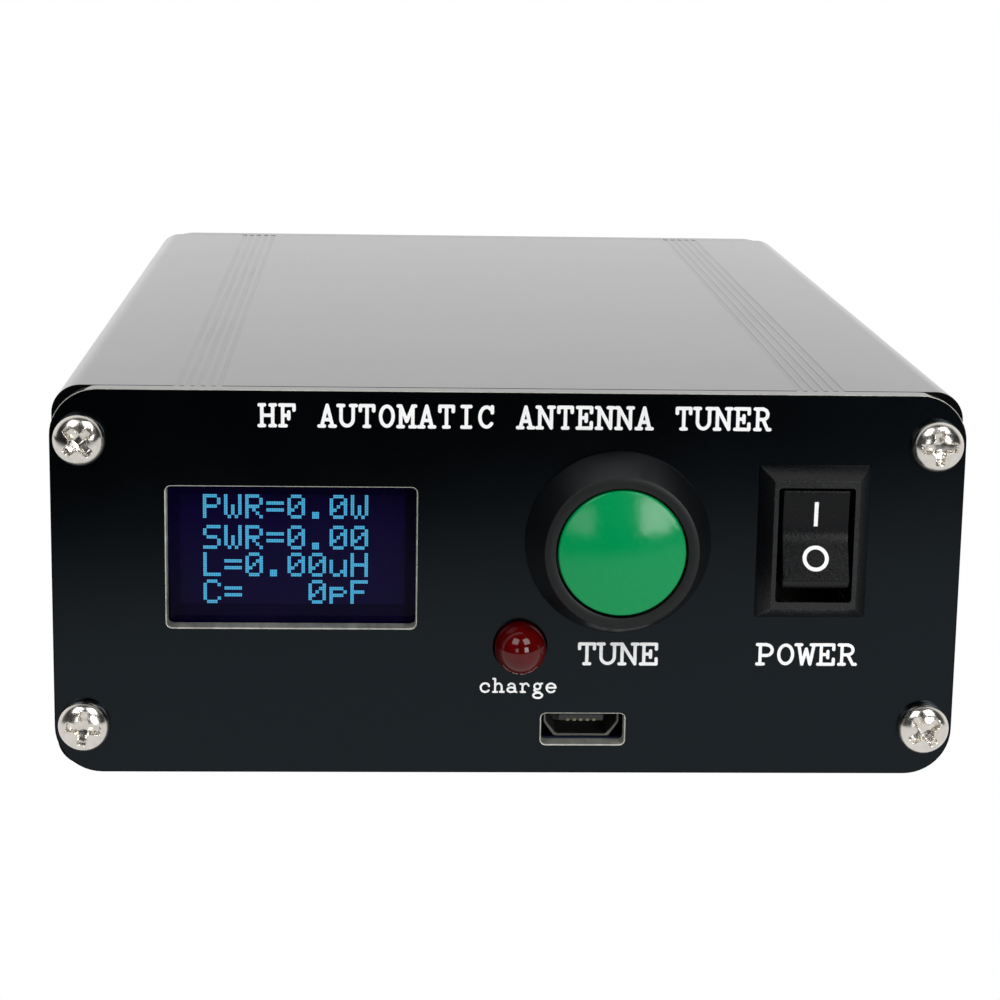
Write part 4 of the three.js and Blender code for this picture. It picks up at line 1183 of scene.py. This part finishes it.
def make_socket(name):
    steps = 120
    at, back, reach = on_rear(f"{name}_socket_shell")
    barrel, bore, thread = SOCKET["barrel"], SOCKET["bore"], SOCKET["thread"]
    front, flange = -2.1, 9.5
    loops = turned([
        (bore, back), (flange - 0.1, back), (flange, back + 0.1), (flange, front),
    ], at, steps)
    loops += threaded_bar(barrel, front, reach - 0.5, SOCKET["pitch"], thread, at, steps)
    loops += turned([
        (barrel - thread, reach - 0.5), (barrel - thread - 0.3, reach), (bore + 0.25, reach),
        (bore, reach - 0.25),
    ], at, steps)
    notch_half = math.asin(SOCKET["notch"] / 2 / (barrel - 1))
    floor = rear_face + reach - SOCKET["notch_depth"]
    for loop in loops[4:]:
        for i, (x, y, z) in enumerate(loop):
            a = 2 * math.pi * i / steps
            off = abs((a + math.pi / 4) % (math.pi / 2) - math.pi / 4)
            if off < notch_half and y > floor:
                loop[i] = (x, floor, z)
    add(
        f"{name}_socket_barrel", loft(loops, ring=True), "case", [nickel],
        [f"{name}_socket_shell"], sharp=38,
    )
    make_nut(f"{name}_socket_hexagon", f"{name}_socket_nut", barrel + 0.1, at)
    _, back, boss = on_rear(f"{name}_socket_insulator")
    edge, boss_radius, hole = 5.8, 4.7, 2.75
    profile = [
        (hole, back), (edge, back), (edge, 2.8), (edge - 0.2, 3.0), (boss_radius + 0.15, 3.0),
        (boss_radius, 3.15), (boss_radius, boss - 0.4), (boss_radius - 0.1, boss - 0.12),
        (boss_radius - 0.4, boss), (hole + 0.2, boss), (hole, boss - 0.2), (hole, back),
    ]
    add(
        f"{name}_socket_dielectric", loft(turned(profile, at, 72), caps=False), "case",
        [insulator_white], [f"{name}_socket_insulator"],
    )
    make_centre_contact(name, at)


def make_centre_contact(name, at):
    """The hollow centre contact, its rim flared slightly."""
    _, back, front = on_rear(f"{name}_socket_contact")
    profile = [
        (0.0, back), (1.4, back), (1.56, back + 0.2), (1.56, -6.0), (2.5, -6.0), (2.6, -5.9),
        (2.6, front - 0.15), (2.5, front), (2.2, front), (2.02, front - 0.3), (2.02, front - 10),
        (0.0, front - 11),
    ]
    add(
        f"{name}_socket_pin", loft(turned(profile, at, 64)), "case", [brass],
        [f"{name}_socket_contact"],
    )


def make_ground_terminal():
    at = on_rear("ground_nut")[0]
    _, back, end = on_rear("ground_screw")
    steps = 64
    head = [
        (0.0, back), (3.4, back), (3.6, back + 0.2), (3.6, -2.3), (3.4, -2.1), (2.0, -2.1),
    ]
    loops = turned(head, at, steps)
    loops += threaded_bar(2.0, -2.0, end - 0.3, 0.7, 0.24, at, steps)
    loops += turned([(1.6, end), (0.0, end)], at, steps)
    add("ground_stud", loft(loops), "case", [nickel], ["ground_screw"], sharp=40)
    make_nut("ground_hexagon", "ground_nut", 2.1, at)


# ---- CAD pieces that keep their shape ----

KEPT = {
    green_board: ["main_board"],
    blue_board: ["display_board", "charger_board"],
    ribbon: ["display_cable"],
    nickel: ["button_nut"],
    brass: [
        "button_contact", "button_terminal_left", "button_terminal_right", "switch_plunger",
        "switch_blade", "switch_terminal_common", "switch_terminal_on",
    ],
    foil: ["battery"],
    red_wire: ["battery_lead"],
    relay_blue: ["inductor_relays", "capacitor_relays", "network_relay"],
    red_core: ["toroid_1", "toroid_2", "toroid_3", "toroid_4"],
    copper: ["air_coil_1", "air_coil_2", "air_coil_3", "antenna_wire", "radio_wire"],
    moulding: ["swr_transformer", "microcontroller", "voltage_regulator"],
}


def finish_kept_nodes():
    for material, names in KEPT.items():
        for name in names:
            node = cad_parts[name]
            node.data.materials.clear()
            node.data.materials.append(material)


# ---- floor, light and camera ----


def seen_white(tree, kind, output_kind, source, slant, lit):
    """Pure white for the camera. For other rays the strength rises with Y plus a share of X; on
    the floor this glow is painted light.
    """
    link = tree.links.new
    tree.nodes.clear()
    output = add_node(tree, output_kind)
    mix = add_node(tree, "MixShader")
    path = add_node(tree, "LightPath")
    seen, other = (add_node(tree, kind, Color=(1, 1, 1, 1)) for _ in range(2))
    coords = add_node(tree, "TexCoord")
    split = add_node(tree, "SeparateXYZ")
    fall = add_node(tree, "MapRange", **lit)
    fall.interpolation_type = "SMOOTHSTEP"
    along = add_node(tree, "Math")
    along.operation = "MULTIPLY_ADD"
    along.inputs[1].default_value = slant
    link(coords.outputs[source], split.inputs[0])
    link(split.outputs["X"], along.inputs[0])
    link(split.outputs["Y"], along.inputs[2])
    link(along.outputs[0], fall.inputs["Value"])
    link(fall.outputs["Result"], other.inputs["Strength"])
    link(path.outputs["Is Camera Ray"], mix.inputs["Fac"])
    link(other.outputs[0], mix.inputs[1])
    link(seen.outputs[0], mix.inputs[2])
    link(mix.outputs[0], output.inputs["Surface"])


def make_floor():
    size = 4.0
    mesh = bpy.data.meshes.new("floor")
    z = cad_bounds[0].z - FLOOR_GAP
    corners = [(-size, -size, z), (size, -size, z), (size, size, z), (-size, size, z)]
    mesh.from_pydata(corners, [], [[0, 1, 2, 3]])
    floor = bpy.data.objects.new("floor", mesh)
    bpy.context.scene.collection.objects.link(floor)
    # The floor glows instead of being lit: white to the camera, and for other rays a glow that
    # fades to the front and rises to the right, painted light.
    material = bpy.data.materials.new("white_sheet")
    material.use_nodes = True
    seen_white(
        material.node_tree, "Emission", "OutputMaterial", "Object", FLOOR_SLANT, FLOOR_PAINTED_GLOW,
    )
    mesh.materials.append(material)


def make_world():
    world = bpy.data.worlds.new("studio")
    bpy.context.scene.world = world
    world.use_nodes = True
    seen_white(world.node_tree, "Background", "OutputWorld", "Generated", 0.0, ROOM_LIT)


def soft_box(name, direction, size, power):
    """An area light that faces the middle of the front panel."""
    aim = Vector((0.0, front_face * MM, case_middle * MM))
    azimuth, elevation = (math.radians(a) for a in direction)
    towards = Vector((
        math.sin(azimuth) * math.cos(elevation),
        -math.cos(azimuth) * math.cos(elevation),
        math.sin(elevation),
    ))
    data = bpy.data.lights.new(name, "AREA")
    data.shape = "RECTANGLE"
    data.size, data.size_y = size
    data.energy = power
    light = bpy.data.objects.new(name, data)
    light.location = aim + towards * SOFT_BOX_DISTANCE
    light.rotation_euler = (-towards).to_track_quat("-Z", "Y").to_euler()
    light.visible_camera = False
    bpy.context.scene.collection.objects.link(light)


def make_camera():
    data = bpy.data.cameras.new("camera")
    data.lens = CAMERA["lens"]
    data.sensor_width = CAMERA["sensor"]
    data.clip_start = 0.01
    camera = bpy.data.objects.new("camera", data)
    yaw, pitch, roll = (math.radians(CAMERA[k]) for k in ("yaw", "pitch", "roll"))
    ahead = Vector((
        math.sin(yaw) * math.cos(pitch), math.cos(yaw) * math.cos(pitch), -math.sin(pitch),
    ))
    level = Vector((math.cos(yaw), -math.sin(yaw), 0))
    above = level.cross(ahead)
    right = math.cos(roll) * level + math.sin(roll) * above
    up = -math.sin(roll) * level + math.cos(roll) * above
    camera.matrix_world = Matrix((
        (right.x, up.x, -ahead.x, CAMERA["location"][0]),
        (right.y, up.y, -ahead.y, CAMERA["location"][1]),
        (right.z, up.z, -ahead.z, CAMERA["location"][2]),
        (0, 0, 0, 1),
    ))
    bpy.context.scene.collection.objects.link(camera)
    bpy.context.scene.camera = camera


make_camera()
make_floor()
make_world()
soft_box("soft_box_left", (-18, 7), (0.2, 0.24), 0.45)
soft_box("soft_box_right", (25, 10), (0.28, 0.32), 2.6)
soft_box("soft_box_above_left", (-34, 46), (0.42, 0.42), 2.6)
soft_box("soft_box_above_right", (34, 46), (0.42, 0.42), 3.2)
bpy.context.scene.view_settings.view_transform = "Standard"

make_panel("front", front_holes())
make_panel("rear", rear_holes())
make_shells()
for end in ("front", "rear"):
    for name, at in screw_places(end).items():
        make_screw(end, name, at)
make_display()
make_labels()
make_button()
make_return_spring()
make_switch()
make_rocker()
make_charging_light()
make_charging_socket()
for name in ("antenna", "radio"):
    make_socket(name)
make_ground_terminal()
finish_kept_nodes()
